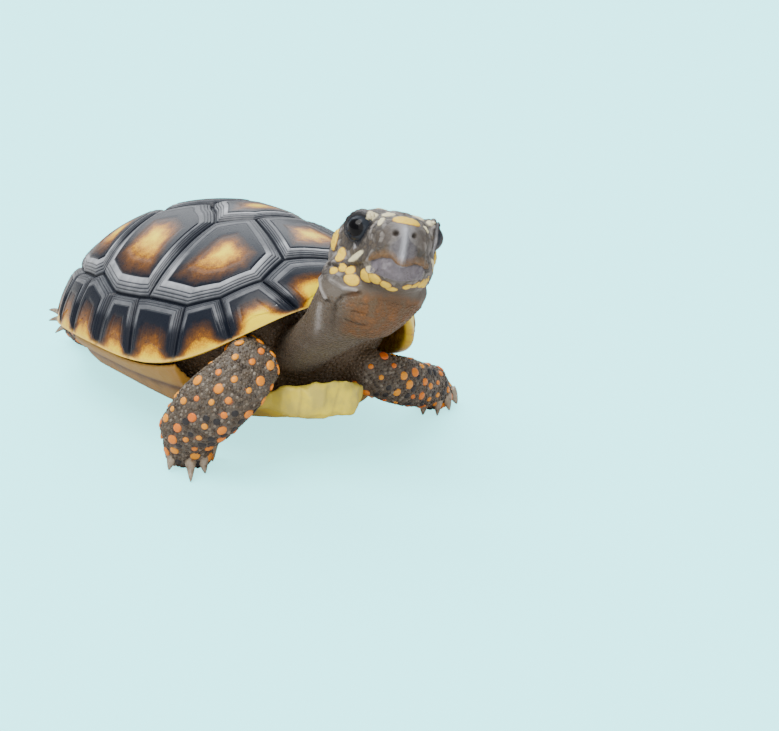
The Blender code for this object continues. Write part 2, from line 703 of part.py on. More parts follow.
def build_head(parts, cutters):
    """Head, lower jaw, both beaks and the eyes, parted by thin cuts."""
    half_gap = GAP / MM / 2
    mouth_low, mouth_high = MOUTH_LEVEL - half_gap, MOUTH_LEVEL + half_gap
    wide = 20.0
    jaw_room = add_cutter("jaw_room", head_box((-wide, -wide, -wide),
                                               (wide, MOUTH_CORNER, mouth_high)), cutters)
    jaw_form = add_cutter("jaw_form", head_box((-wide, -wide, -wide),
                                               (wide, MOUTH_CORNER - GAP / MM, mouth_low)), cutters)
    beak_room = add_cutter("beak_room", head_box((-wide, -wide, mouth_low - 1.0),
                                                 (wide, BEAK_BACK, BEAK_TOP)), cutters)
    beak_form = add_cutter("beak_form", head_box((-wide, -wide, mouth_high),
                                                 (wide, BEAK_BACK - GAP / MM, BEAK_TOP - GAP / MM)),
                           cutters)
    chin = -11.4
    lower_room = add_cutter("lower_beak_room", head_box((-wide, -wide, chin),
                                                        (wide, JAW_BEAK_BACK, mouth_high)), cutters)
    lower_form = add_cutter("lower_beak_form",
                            head_box((-wide, -wide, chin + GAP / MM),
                                     (wide, JAW_BEAK_BACK - GAP / MM, mouth_low)), cutters)
    head = add_object("head", head_mesh(), "skin", parts)
    jaw = add_object("jaw", head_mesh(), "skin", parts)
    beak = add_object("beak_upper", head_mesh(), "beak", parts)
    lower_beak = add_object("beak_lower", head_mesh(), "beak", parts)
    cut(head, jaw_room)
    cut(head, beak_room)
    cut(jaw, jaw_form, "INTERSECT")
    cut(jaw, lower_room)
    cut(beak, beak_form, "INTERSECT")
    cut(lower_beak, lower_form, "INTERSECT")
    for side, tag in ((-1, "right"), (1, "left")):
        place = (side * EYE_PLACE[0], EYE_PLACE[1], EYE_PLACE[2])
        socket = add_cutter(f"socket_{tag}", ball(place, EYE_RADIUS * MM + GAP), cutters)
        cut(head, socket)
        add_object(f"eye_{tag}", ball(place, EYE_RADIUS * MM), "eye", parts)


def build_limb(limb, trunk_cutter, parts, cutters):
    """Upper part, lower part, foot and claws of one leg."""
    rows = limb_rows(limb.stations + limb.sole[:1])
    upper = spline(rows[:limb.split + 1], 2)
    lower = spline(rows[limb.split:-1], 2)
    lower[0] = cut_row(lower[0], lower[1], GAP)
    upper_part = add_object(f"{limb.name}_upper", loft(bmesh.new(), upper), "skin", parts)
    cut(upper_part, trunk_cutter)
    add_object(f"{limb.name}_lower", loft(bmesh.new(), lower), "skin", parts)
    ankle = cut_row(rows[-2], rows[-1], GAP)
    foot_rows = sole_rows(ankle, limb.sole)
    add_object(limb.foot, foot_mesh(ankle, foot_rows), "skin", parts)
    foot_cutter = add_cutter(f"room_{limb.foot}", swell(foot_mesh(ankle, foot_rows), GAP), cutters)
    surface = BVHTree.FromBMesh(foot_mesh(ankle, foot_rows))
    for number, (inside, tip) in enumerate(claw_lines(limb, foot_rows[-1]), 1):
        piece = add_object(f"claw_{limb.foot}_{number}", claw(surface, inside, tip), "claw", parts)
        cut(piece, foot_cutter)


def sole_rows(ankle, stations):
    """Rows of a foot below its ankle, each turned the same way round as the last."""
    rows = [ankle]
    for place, half_width, half_depth, way in stations:
        centre = Vector(place) * MM
        wide = Vector(way).normalized()
        run = Vector((0, 0, -1)) if wide.z == 0 else (centre - rows[-1][0]).normalized()
        wide = (wide - run * wide.dot(run)).normalized()
        if wide.dot(rows[-1][1]) < 0:
            wide.negate()
        thin = run.cross(wide)
        rows.append((centre, wide * half_width * MM, thin * half_depth * MM, LIMB_SQUARENESS))
    return rows[1:]


def foot_mesh(ankle, rows):
    """Foot from its ankle to the sole, flat where it meets the floor."""
    mesh = loft(bmesh.new(), [ankle] + rows)
    for vert in mesh.verts:
        vert.co.z = max(vert.co.z, 0.0)
    return faceted(mesh)


def claw_lines(limb, last_row):
    """Point inside the foot that each claw grows from, with the claw's tip."""
    centre, wide = last_row[0], last_row[1].normalized()
    lines = []
    for number, place in enumerate(limb.claws):
        tip = Vector(place) * MM
        if limb.toe_spread:
            share = 1 - 2 * number / (len(limb.claws) - 1)
            inside = centre + wide * limb.toe_spread * MM * share
        else:
            inside = Vector((centre.x, centre.y, CLAW_ROOT_LEVEL * MM))
        lines.append((inside, tip))
    return lines


def claw(surface, inside, tip):
    """Curved horn cone from the foot's surface to its tip."""
    level = Vector((tip.x, tip.y, max(inside.z, tip.z)))
    way = (level - inside).normalized()
    start = surface.ray_cast(level + way * 5 * MM, -way)[0]
    root = start - way * CLAW_DEPTH * MM
    bend = root.lerp(tip, 0.5) + Vector((0, 0, 0.2 * (root.z - tip.z) + 0.3 * MM))
    mesh = bmesh.new()
    rings = []
    for number in range(CLAW_RINGS):
        t = number / CLAW_RINGS
        place = root * (1 - t) ** 2 + bend * 2 * t * (1 - t) + tip * t * t
        ahead = ((bend - root) * (1 - t) + (tip - bend) * t).normalized()
        side = ahead.cross(Vector((0, 0, 1))).normalized()
        rise = side.cross(ahead)
        radius = CLAW_RADIUS * MM * (1 - t) ** CLAW_TAPER
        ring = []
        for step in range(CLAW_SIDES):
            angle = 2 * math.pi * step / CLAW_SIDES
            ring.append(mesh.verts.new(place + side * math.cos(angle) * radius * 0.9
                                       + rise * math.sin(angle) * radius))
        rings.append(ring)
    for one, two in zip(rings, rings[1:]):
        bridge_rings(mesh, one, two)
    cap_ring(mesh, rings[-1], mesh.verts.new(tip))
    cap_ring(mesh, rings[0], mesh.verts.new(root))
    return mesh


def main():
    """Build the whole tortoise."""
    clear_scene()
    parts = collection("tortoise")
    cutters = collection("cutters")
    add_stance(cutters)
    build_carapace(parts)
    build_plastron(parts)
    trunk_cutter = add_cutter("trunk_cutter", swell(trunk_mesh(), TRUNK_ROOM * MM), cutters)
    head_cutter = add_cutter("head_cutter", head_mesh(GAP), cutters)
    add_object("trunk", trunk_mesh(), "skin", parts)
    build_head(parts, cutters)
    neck = add_object("neck", loft(bmesh.new(), spline(limb_rows(NECK_STATIONS), 2), NECK_SIDES),
                      "skin", parts)
    cut(neck, trunk_cutter)
    cut(neck, head_cutter)
    tail = add_object("tail", loft(bmesh.new(), spline(limb_rows(TAIL_STATIONS), 2), TAIL_SIDES),
                      "skin", parts)
    cut(tail, trunk_cutter)
    for limb in LIMBS:
        build_limb(limb, trunk_cutter, parts, cutters)


main()
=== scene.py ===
"""Looks of a juvenile red-footed tortoise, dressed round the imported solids.

Lengths are millimetres until a mesh is made. The head points to -Y, +X is the
animal's left and +Z is up. The shell and the head each have a frame of their
own, in which their scutes, scales and markings are laid out.
"""

import logging
import math
from dataclasses import dataclass, field
from enum import Enum
from functools import reduce
from itertools import product
from typing import Callable, Iterable, Sequence

import bmesh
import bpy
import numpy as np
from bpy.types import Material, Mesh, NodeSocket, Object
from mathutils import Matrix, Vector, noise
from mathutils.bvhtree import BVHTree
from mathutils.kdtree import KDTree


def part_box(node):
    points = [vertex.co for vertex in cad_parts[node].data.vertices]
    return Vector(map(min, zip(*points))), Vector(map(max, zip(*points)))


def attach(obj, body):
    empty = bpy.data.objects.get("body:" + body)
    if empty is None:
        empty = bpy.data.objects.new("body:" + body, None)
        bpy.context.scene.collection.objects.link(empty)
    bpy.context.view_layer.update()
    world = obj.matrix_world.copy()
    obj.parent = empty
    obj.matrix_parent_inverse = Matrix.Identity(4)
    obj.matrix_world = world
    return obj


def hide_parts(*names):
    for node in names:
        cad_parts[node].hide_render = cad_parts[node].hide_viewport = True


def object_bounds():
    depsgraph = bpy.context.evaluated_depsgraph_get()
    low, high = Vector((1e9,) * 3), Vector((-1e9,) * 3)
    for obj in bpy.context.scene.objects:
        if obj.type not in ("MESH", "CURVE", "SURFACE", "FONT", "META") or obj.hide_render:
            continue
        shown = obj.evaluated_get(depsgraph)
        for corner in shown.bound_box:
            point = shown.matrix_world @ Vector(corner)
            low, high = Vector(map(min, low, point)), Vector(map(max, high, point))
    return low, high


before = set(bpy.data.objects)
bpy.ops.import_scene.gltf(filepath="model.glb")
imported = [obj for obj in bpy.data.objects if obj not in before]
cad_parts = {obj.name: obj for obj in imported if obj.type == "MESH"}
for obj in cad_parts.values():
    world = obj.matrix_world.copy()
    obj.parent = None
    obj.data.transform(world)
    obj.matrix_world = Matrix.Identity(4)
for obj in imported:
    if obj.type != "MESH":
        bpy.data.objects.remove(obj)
CAD_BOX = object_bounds()

MM = 0.001
STANCE = np.array((-6.52, 5.4, 0.0))    # shift that puts the origin mid-way under the animal
SEED = 11
ROOT = "root"

log = logging.getLogger("tortoise")


# --- frames and small mathematics --------------------------------------------

def rotation(axis: str, degrees: float) -> np.ndarray:
    """Return the 3x3 matrix of a turn about one axis."""
    return np.array(Matrix.Rotation(math.radians(degrees), 3, axis))


@dataclass(frozen=True)
class Place:
    """A local frame in the world, in millimetres."""

    origin: np.ndarray
    turn: np.ndarray

    def to_world(self, points: np.ndarray) -> np.ndarray:
        """Move local points to the world."""
        return np.atleast_2d(points) @ self.turn.T + self.origin

    def to_local(self, points: np.ndarray) -> np.ndarray:
        """Move world points to this frame."""
        return (np.atleast_2d(points) - self.origin) @ self.turn


SHELL_PIVOT = np.array((0.0, 0.0, 19.8))
SHELL_TURN = rotation("Y", 7.1) @ rotation("X", -3.9)
SHELL = Place(STANCE + (0.0, 0.0, 25.3) - SHELL_TURN @ SHELL_PIVOT, SHELL_TURN)
HEAD = Place(STANCE + (2.0, -56.8, 57.2),
             rotation("Z", -28.5) @ rotation("X", -20.0) @ rotation("Y", 6.1))


def smoothstep(low: float, high: float, values: np.ndarray) -> np.ndarray:
    """Return 0 below low, 1 above high and an eased slope between them."""
    t = np.clip((np.asarray(values, dtype=float) - low) / (high - low), 0.0, 1.0)
    return t * t * (3.0 - 2.0 * t)


def bump(values: np.ndarray, middle: float, width: float) -> np.ndarray:
    """Return a bell of height 1 round a middle value."""
    return np.exp(-((np.asarray(values) - middle) / width) ** 2)


def signed_power(values: np.ndarray, power: float) -> np.ndarray:
    """Raise the size of each number to a power and keep its sign."""
    return np.sign(values) * np.abs(values) ** power


def unit(vectors: np.ndarray) -> np.ndarray:
    """Scale each row to length one."""
    length = np.linalg.norm(vectors, axis=-1, keepdims=True)
    return vectors / np.maximum(length, 1e-12)


def degrees_from(axis: np.ndarray, ways: np.ndarray) -> np.ndarray:
    """Return the angle between an axis and each row of length one."""
    return np.degrees(np.arccos(np.clip(ways @ axis, -1, 1)))


def fractal(points: np.ndarray, size: float, octaves: int) -> np.ndarray:
    """Return smooth noise from about -1 to 1, with its largest patches a size in millimetres."""
    return np.array([noise.fractal(Vector(point) / size, 1.0, 2.0, octaves) for point in points])


# --- meshes --------------------------------------------------------------------

def placed(name: str, data: bpy.types.ID) -> Object:
    """Put a mesh, lamp or camera in the scene."""
    holder = bpy.data.objects.new(name, data)
    bpy.context.scene.collection.objects.link(holder)
    return holder


def new_object(name: str, points: np.ndarray, faces: Sequence[Sequence[int]]) -> Object:
    """Make a smooth-shaded mesh object from points in millimetres."""
    mesh = bpy.data.meshes.new(name)
    mesh.from_pydata((np.asarray(points) * MM).tolist(), [], [list(map(int, row)) for row in faces])
    mesh.update()
    mesh.shade_smooth()
    return placed(name, mesh)


def from_forms(name: str, forms: bmesh.types.BMesh) -> Object:
    """Turn working forms into an object and let them go."""
    mesh = bpy.data.meshes.new(name)
    forms.to_mesh(mesh)
    forms.free()
    return placed(name, mesh)


def numbers_of(rows: bpy.types.bpy_prop_collection, name: str, width: int = 1,
               kind: type = np.float32) -> np.ndarray:
    """Return one property of every vertex, edge, corner or triangle.

    Args:
        rows: the mesh's vertices, edges, loops or triangles, or an attribute's data.
        name: the property's name.
        width: how many numbers it holds.
        kind: type of the numbers.

    Returns:
        One row for each item, or one number where the width is 1.
    """
    flat = np.empty(len(rows) * width, dtype=kind)
    rows.foreach_get(name, flat)
    return flat.reshape(-1, width) if width > 1 else flat


def points_of(mesh: Mesh) -> np.ndarray:
    """Return a mesh's vertices in millimetres."""
    return numbers_of(mesh.vertices, "co", 3).astype(float) / MM


def move_points(mesh: Mesh, points: np.ndarray) -> None:
    """Set a mesh's vertices from millimetres."""
    mesh.vertices.foreach_set("co", (points * MM).astype(np.float32).ravel())
    mesh.update()


def normals_of(mesh: Mesh) -> np.ndarray:
    """Return the vertex normals of a mesh."""
    return numbers_of(mesh.vertices, "normal", 3).astype(float)


def store(mesh: Mesh, name: str, values: np.ndarray) -> None:
    """Keep one number for each vertex under a name that materials can read."""
    layer = mesh.attributes.get(name) or mesh.attributes.new(name, "FLOAT", "POINT")
    layer.data.foreach_set("value", np.asarray(values, dtype=np.float32))


def store_part(mesh: Mesh, name: str, rows: np.ndarray, values: np.ndarray) -> None:
    """Keep one number for each of some vertices, and 0 for the others."""
    whole = np.zeros(len(mesh.vertices))
    whole[rows] = values
    store(mesh, name, whole)


def read(mesh: Mesh, name: str) -> np.ndarray:
    """Return the numbers kept under a name, one for each vertex."""
    return numbers_of(mesh.attributes[name].data, "value").astype(float)


def relax(mesh: Mesh, rounds: int) -> np.ndarray:
    """Smooth a mesh along its edges; every second round swells it back.

    Args:
        mesh: the mesh, which gets the new points.
        rounds: how many passes are made.

    Returns:
        The smoothed points in millimetres.
    """
    points = points_of(mesh)
    edges = numbers_of(mesh.edges, "vertices", 2, np.int32)
    count = len(points)
    ends = np.concatenate((edges[:, 0], edges[:, 1]))
    others = np.concatenate((edges[:, 1], edges[:, 0]))
    degree = np.maximum(np.bincount(ends, minlength=count), 1)[:, None]
    for number in range(rounds):
        step = -0.52 if number % 2 else 0.5
        total = np.stack([np.bincount(ends, points[others, axis], count) for axis in range(3)], 1)
        points = points + step * (total / degree - points)
    move_points(mesh, points)
    return points


def apply_modifiers(piece: Object) -> None:
    """Replace a piece's mesh by the one that its modifiers make, and drop them."""
    graph = bpy.context.evaluated_depsgraph_get()
    mesh = bpy.data.meshes.new_from_object(piece.evaluated_get(graph))
    piece.modifiers.clear()
    old = piece.data
    piece.data = mesh
    bpy.data.meshes.remove(old)


def remeshed(piece: Object, voxel: float) -> None:
    """Replace a piece's mesh by one even skin round all that it holds.

    Args:
        piece: object of one or more closed, overlapping forms.
        voxel: width of the new faces in millimetres.
    """
    modifier = piece.modifiers.new("even", "REMESH")
    modifier.mode = "VOXEL"
    modifier.voxel_size = voxel * MM
    modifier.use_smooth_shade = True
    apply_modifiers(piece)


def merged_copy(node: str) -> bmesh.types.BMesh:
    """Return a copy of a solid with its loose triangles joined."""
    copy = bmesh.new()
    copy.from_mesh(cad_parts[node].data)
    bmesh.ops.remove_doubles(copy, verts=copy.verts, dist=1e-6)
    bmesh.ops.recalc_face_normals(copy, faces=copy.faces)
    return copy


def swollen(copy: bmesh.types.BMesh, distance: float) -> bmesh.types.BMesh:
    """Move every vertex out along its normal by a distance in millimetres."""
    copy.normal_update()
    for vert, move in [(vert, vert.normal * distance * MM) for vert in copy.verts]:
        vert.co += move
    return copy


def band(first: np.ndarray, second: np.ndarray) -> list[tuple]:
    """Return the quads between two closed rings of vertex numbers of the same length."""
    return list(zip(first, np.roll(first, -1), np.roll(second, -1), second))


def tube(rows: int, sides: int) -> list[tuple]:
    """Return the quads between rings of vertices that are numbered ring by ring."""
    rings = np.arange(rows * sides).reshape(rows, sides)
    return [quad for pair in zip(rings[:-1], rings[1:]) for quad in band(*pair)]


def fan(ring: np.ndarray, tip: int) -> list[tuple]:
    """Return the triangles between a closed ring of vertex numbers and one vertex."""
    return [(one, two, tip) for one, two in zip(ring, np.roll(ring, -1))]


def finish_piece(piece: Object, material: Material,
                 nodes: Iterable[str] = ()) -> Object:
    """Keep a piece inside the solids' box, give it its finish, hang it under the root and hide the
    solids that it stands for.

    Args:
        piece: the piece with its final mesh.
        material: its finish.
        nodes: the solids that it stands for.

    Returns:
        The same piece.
    """
    low, high = np.array(CAD_BOX) / MM
    move_points(piece.data, np.clip(points_of(piece.data), low, high))
    piece.data.materials.clear()
    piece.data.materials.append(material)
    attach(piece, ROOT)
    if nodes:
        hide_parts(*nodes)
    log.info("%s: %d faces", piece.name, len(piece.data.polygons))
    return piece


# --- the shell -------------------------------------------------------------------

class Side(Enum):
    """A side of the animal, as the sign of x."""

    RIGHT = -1
    LEFT = 1


@dataclass(frozen=True)
class Dome:
    """The smooth dome under the scutes, as a map from the unit disk."""

    width: float = 68.4
    length: float = 90.0
    height: float = 42.8
    rim_side: float = 10.1
    front_rise: float = 20.3
    front_power: float = 2.5
    rear_drop: float = 3.0
    plan_power: float = 0.78
    dome_power: float = 1.06
    flare: float = 0.03

    def point(self, disk: np.ndarray, shrink: float = 0.0, lift: float = 0.0) -> np.ndarray:
        """Map points of the unit disk to the dome.

        Args:
            disk: rows of x and y, front towards -y.
            shrink: distance by which the dome is made smaller.
            lift: distance by which its rim is raised.

        Returns:
            Points in the shell's frame.
        """
        radius = np.minimum(np.linalg.norm(disk, axis=1), 1.0)
        way = unit(disk + np.array((0.0, -1e-9)))
        spread = np.sin(radius * math.pi / 2) ** self.dome_power
        rise = np.maximum(np.cos(radius * math.pi / 2), 0.0) ** self.dome_power
        across = (self.width / 2 - shrink) * signed_power(way[:, 0], self.plan_power)
        along = (self.length / 2 - shrink) * signed_power(way[:, 1], self.plan_power)
        rim = (self.rim_side + self.front_rise * np.maximum(-way[:, 1], 0.0) ** self.front_power
               - self.rear_drop * np.maximum(way[:, 1], 0.0) ** 2 + lift)
        top = self.height - shrink
        return np.stack((across * (1 + self.flare * way[:, 1]) * spread, along * spread,
                         rim + (top - rim) * rise), 1)

    def normal(self, disk: np.ndarray) -> np.ndarray:
        """Return the outward normals of the dome.

        Args:
            disk: points of the unit disk.

        Returns:
            A direction for each point, in the shell's frame.
        """
        radius = np.linalg.norm(disk, axis=1, keepdims=True)
        turn = rotation("Z", 0.1)[:2, :2]
        base = np.where(radius > 0.02, disk, np.array((0.0, -0.02)))
        inner = base * 0.998
        across = self.point(base * 0.9999) - self.point(inner)
        around = self.point(base @ turn.T * 0.999) - self.point(base @ turn * 0.999)
        normal = unit(np.cross(around, across))
        normal *= np.sign(np.sum(normal * (self.point(base) - (0, 0, 8.0)), 1))[:, None]
        return np.where(radius > 0.02, normal, np.array((0.0, 0.0, 1.0)))


def polar(share: float, degrees: float, side: Side = Side.RIGHT) -> np.ndarray:
    """Disk point from a share of the radius and degrees from the front."""
    angle = math.radians(degrees)
    return np.array((side.value * share * math.sin(angle), -share * math.cos(angle)))


@dataclass(frozen=True)
class ScuteMap:
    """Where the seams between the scutes meet, and which seams bound each scute."""

    rim_seams: tuple = (18, 41, 62, 80, 91, 103, 116, 130, 146, 159, 171)
    inner_seams: tuple = ((0.68, 31), (0.72, 48), (0.735, 62), (0.725, 83), (0.745, 91),
                          (0.72, 104), (0.73, 116), (0.73, 129), (0.74, 143), (0.75, 157),
                          (0.77, 169))
    front_share: float = 0.60
    costal_ends: tuple = (("v1", 0.57, 20), ("c12", 0.715, 79.5), ("c23", 0.69, 100.5),
                          ("c34", 0.72, 126), ("c45", 0.74, 153))
    spine: tuple = ((0.10, -0.19), (0.255, -0.085), (0.13, 0.055), (0.26, 0.20),
                    (0.13, 0.32), (0.24, 0.44), (0.11, 0.55))

    def corners(self) -> dict[str, np.ndarray]:
        """Return every corner as a point of the unit disk, by its name."""
        found = {"front": polar(self.front_share, 0), "rim_front": polar(1.0, 0)}
        for side, tag in ((Side.RIGHT, "r"), (Side.LEFT, "l")):
            for number, (across, along) in enumerate(self.spine):
                found[f"s{number}{tag}"] = np.array((side.value * across, along))
            for name, share, degrees in self.costal_ends:
                found[name + tag] = polar(share, degrees, side)
            for number, (share, degrees) in enumerate(self.inner_seams, 1):
                found[f"m{number}{tag}"] = polar(share, degrees, side)
                found[f"r{number}{tag}"] = polar(1.0, self.rim_seams[number - 1], side)
        return found

    def scutes(self) -> dict[str, list[str]]:
        """Return the corners round each scute, by the scute's name."""
        rows = {
            "vertebral_1": "front v1r s0r s0l v1l",
            "vertebral_2": "s0r s1r s2r s2l s1l s0l",
            "vertebral_3": "s2r s3r s4r s4l s3l s2l",
            "vertebral_4": "s4r s5r s6r s6l s5l s4l",
            "vertebral_5": "s6r c45r m11r m11l c45l s6l",
            "marginal_12": "m11r r11r r11l m11l",
        }
        halves = {
            "costal_1": "v1 m1 m2 m3 c12 s1 s0",
            "costal_2": "c12 m4 m5 c23 s3 s2 s1",
            "costal_3": "c23 m6 m7 c34 s5 s4 s3",
            "costal_4": "c34 m8 m9 m10 c45 s6 s5",
        }
        extra = {4: " c12", 6: " c23", 8: " c34", 11: " c45"}
        for number in range(2, 12):
            halves[f"marginal_{number}"] = (f"m{number - 1} r{number - 1} r{number} m{number}"
                                            + extra.get(number, ""))
        for tag in "rl":
            rows[f"marginal_1{tag}"] = f"front rim_front r1{tag} m1{tag} v1{tag}"
            for name, row in halves.items():
                rows[name + tag] = " ".join(corner + tag for corner in row.split())
        return {name: row.split() for name, row in rows.items()}

    def marginal_place(self, name: str, disk: np.ndarray) -> tuple[np.ndarray, np.ndarray]:
        """Return where points lie on a marginal.

        Args:
            name: the scute's name.
            disk: points of the unit disk.

        Returns:
            Share of the way from its front seam to its rear one, and from its
            inner seam to the rim.
        """
        number = int(name.removeprefix("marginal_").rstrip("rl"))
        rim = (0, *self.rim_seams, 180)
        inner = ((self.front_share, 0), *self.inner_seams, (self.inner_seams[-1][0], 180))
        radius = np.linalg.norm(disk, axis=1)
        degrees = np.degrees(np.arctan2(np.abs(disk[:, 0]), -disk[:, 1]))
        if number == 12:
            degrees = np.degrees(np.arctan2(disk[:, 0], -disk[:, 1])) % 360
            rim, inner = (171, 189), ((0.77, 169), (0.77, 191))
            number = 1
        (first_share, first), (second_share, second) = inner[number - 1:number + 1]
        out = np.clip((radius - (first_share + second_share) / 2)
                      / (1 - (first_share + second_share) / 2), 0.0, 1.0)
        start = first + (rim[number - 1] - first) * out
        end = second + (rim[number] - second) * out
        return np.clip((degrees - start) / (end - start), 0.0, 1.0), out


@dataclass
class Carapace:
    """Upper shell: scutes with growth rings round a golden middle, and black seams."""

    dome: Dome
    scutes: ScuteMap
    seam_step: float = 0.8              # length of an edge along a seam
    wall: float = 1.6
    relief: float = 0.85                # how far a scute stands over its seams
    seam_depth: float = 0.55
    ring_edges: tuple = (0.075, 0.125, 0.185, 0.300)    # grooves between growth rings
    ring_depth: float = 0.17
    rim_lip: float = 0.35
    gold_lean: float = 0.9              # how far the marking reaches towards the rim
    points: list = field(default_factory=list)
    faces: list = field(default_factory=list)
    tones: dict = field(default_factory=lambda: {"gold": [], "crown": [], "lip": []})
    seam_numbers: dict = field(default_factory=dict)

    def shares(self) -> np.ndarray:
        """Return how far in from the seam each ring of vertices lies."""
        fine = [edge + offset for edge in self.ring_edges
                for offset in (-0.018, -0.008, 0.0, 0.008, 0.018)]
        inner = (0.34, 0.42, 0.50, 0.56, 0.60, 0.63, 0.68, 0.78, 0.90)
        return np.array(sorted((0.0, 0.008, 0.024, 0.048, *fine, *inner)))

    def outline(self, corners: dict, row: list[str]) -> np.ndarray:
        """Return disk points round a scute; neighbours get the same ones on their seam.

        Args:
            corners: the disk point of every corner, by name.
            row: names of the corners round this scute.

        Returns:
            The ring of points, in order.
        """
        ring = []
        for number, name in enumerate(row):
            start, end = corners[name], corners[row[(number + 1) % len(row)]]
            forward = tuple(start) < tuple(end)
            first, last = (start, end) if forward else (end, start)
            length = np.linalg.norm(np.diff(self.dome.point(np.stack((first, last))), axis=0))
            count = max(2, math.ceil(length / self.seam_step))
            line = first + (last - first) * np.linspace(0.0, 1.0, count + 1)[:, None]
            if min(np.linalg.norm(first), np.linalg.norm(last)) > 0.999:
                line = unit(line)
            line = line if forward else line[::-1]
            ring.append(line[:-1])
        return np.concatenate(ring)

    def areola(self, name: str, corners: dict, row: list[str]) -> np.ndarray:
        """Return the disk point where a scute's growth started."""
        middle = np.mean([corners[corner] for corner in row], axis=0)
        if name.startswith("marginal"):
            return unit(middle) * 0.90
        if name.startswith("costal"):
            return middle * 0.92
        return middle

    def rise(self, share: float) -> float:
        """Return how far a scute has risen over its seam."""
        return self.relief * (1 - (1 - min(share / 0.30, 1.0)) ** 1.7)

    def heights(self, share: float, rim: np.ndarray, reach: np.ndarray) -> np.ndarray:
        """Return how far each point of a ring stands over the dome.

        Args:
            share: way in from the seam, 0 to 1.
            rim: 1 where the nearest part of the outline is the free rim.
            reach: distance from the seam to the scute's areola, in millimetres.

        Returns:
            Heights in millimetres.
        """
        inward = share * reach
        rise = self.rise(share)
        stair, last = 0.0, 0.0
        for edge in self.ring_edges:
            stair += (self.rise(edge) - last) * smoothstep(edge - 0.012, edge + 0.008, share)
            last = self.rise(edge)
        grooves = sum(bump(share, edge, 0.0085) for edge in self.ring_edges)
        depth = self.ring_depth * np.clip(reach / 11.0, 0.3, 1.15)
        areola = 0.07 * smoothstep(0.60, 0.56, share) - 0.05 * bump(share, 0.60, 0.02)
        body = 0.4 * rise + 0.6 * stair - depth * grooves + areola
        seam = -self.seam_depth * bump(inward, 0.0, 0.30) - 0.10 * bump(inward, 0.0, 0.62)
        return (body + seam) * (1 - rim) + rim * self.relief * 0.75

    def crown(self, share: float) -> float:
        """Return how far a ring of vertices lies on the top of a growth ring, which is painted
        pale, partly as wear of the horn and partly as painted sheen.
        """
        groove = sum(bump(share, edge, 0.010) for edge in self.ring_edges)
        wear_and_sheen = smoothstep(0.035, 0.06, share) * smoothstep(0.30, 0.285, share)
        return float(wear_and_sheen * (0.45 + 0.55 * smoothstep(0.12, 0.24, share)) * (1 - min(groove, 1)))

    def gold(self, name: str, share: np.ndarray, disk: np.ndarray) -> np.ndarray:
        """Return the strength of the yellow marking, 0 on the black of a scute.

        Args:
            name: the scute's name.
            share: way in from the seam, 0 to 1.
            disk: points of the unit disk.

        Returns:
            One number for each point.
        """
        if not name.startswith("marginal"):
            lean = (np.linalg.norm(disk, axis=1) - np.linalg.norm(disk.mean(0))) * (share < 1)
            return smoothstep(0.30, 1.10, share + self.gold_lean * lean * (1 - share) * 4 * share)
        along, out = self.scutes.marginal_place(name, disk)
        side = np.minimum(along, 1 - along)
        flank = smoothstep(0.07, 0.42, side + 0.12 * smoothstep(0.75, 1.0, out))
        front = smoothstep(0.60, 0.85, -disk[:, 1])
        fade = smoothstep(0.16 - 0.36 * front, 1.18 - 0.56 * front, out)
        edge = 0.80 * smoothstep(0.90, 0.985, out) * smoothstep(-0.05, 0.08, side)
        return np.clip(np.maximum(fade * flank, edge), 0.0, 0.84 + 0.16 * front)

    def add(self, places: np.ndarray, gold: np.ndarray, crown: np.ndarray,
            lip: np.ndarray) -> np.ndarray:
        """Append vertices with their tones.

        Args:
            places: the vertices, in the shell's frame.
            gold: strength of the yellow marking.
            crown: how far each lies on the top of a growth ring, painted pale as wear and as
                painted sheen.
            lip: 1 on the rim's edge.

        Returns:
            The vertices' numbers.
        """
        first = len(self.points)
        self.points.extend(places)
        for name, values in (("gold", gold), ("crown", crown), ("lip", lip)):
            self.tones[name].extend(np.broadcast_to(values, len(places)))
        return np.arange(first, first + len(places))

    def add_scute(self, name: str, corners: dict, row: list[str]) -> None:
        """Add one scute as rings of vertices from its seam to its areola.

        Args:
            name: the scute's name.
            corners: the disk point of every corner, by name.
            row: names of the corners round this scute.
        """
        ring = self.outline(corners, row)
        core = self.areola(name, corners, row)
        on_rim = (np.linalg.norm(ring, axis=1) > 0.9995).astype(float)
        reach = np.linalg.norm(self.dome.point(ring) - self.dome.point(core[None]), axis=1)
        last = None
        for share in self.shares():
            disk = ring + (core - ring) * share
            radius = np.linalg.norm(disk, axis=1)
            lip = smoothstep(0.95, 1.0, radius)
            edge = np.full(len(ring), share)
            rim = on_rim if name.startswith("marginal") else np.zeros(len(ring))
            height = self.heights(share, rim, reach)
            height = height * (1 - 0.5 * lip) + self.rim_lip * lip
            places = self.dome.point(disk) + self.dome.normal(disk) * height[:, None]
            gold = self.gold(name, edge, disk)
            if share == 0.0:
                level = self.seam_ring(ring, places, gold, lip)
            else:
                # Growth-ring crowns are painted pale: partly wear, partly painted sheen, which is
                # strongest on each scute's outward side where its terraces catch the light.
                wear_and_sheen = (1 - rim) * smoothstep(0.872, 0.820, radius)
                outward = smoothstep(-0.02, 0.09, radius - np.linalg.norm(core))
                wear_and_sheen *= 0.40 if name.startswith("marginal") else 0.28 + 0.90 * outward
                level = self.add(places, gold, self.crown(share) * wear_and_sheen, lip)
            if last is not None:
                self.faces.extend(band(last, level))
            last = level
        tip = self.dome.point(core[None]) + self.dome.normal(core[None]) * (self.relief + 0.02)
        centre = self.add(tip, self.gold(name, np.ones(1), core[None]), 0.0, 0.0)[0]
        self.faces.extend(fan(last, centre))

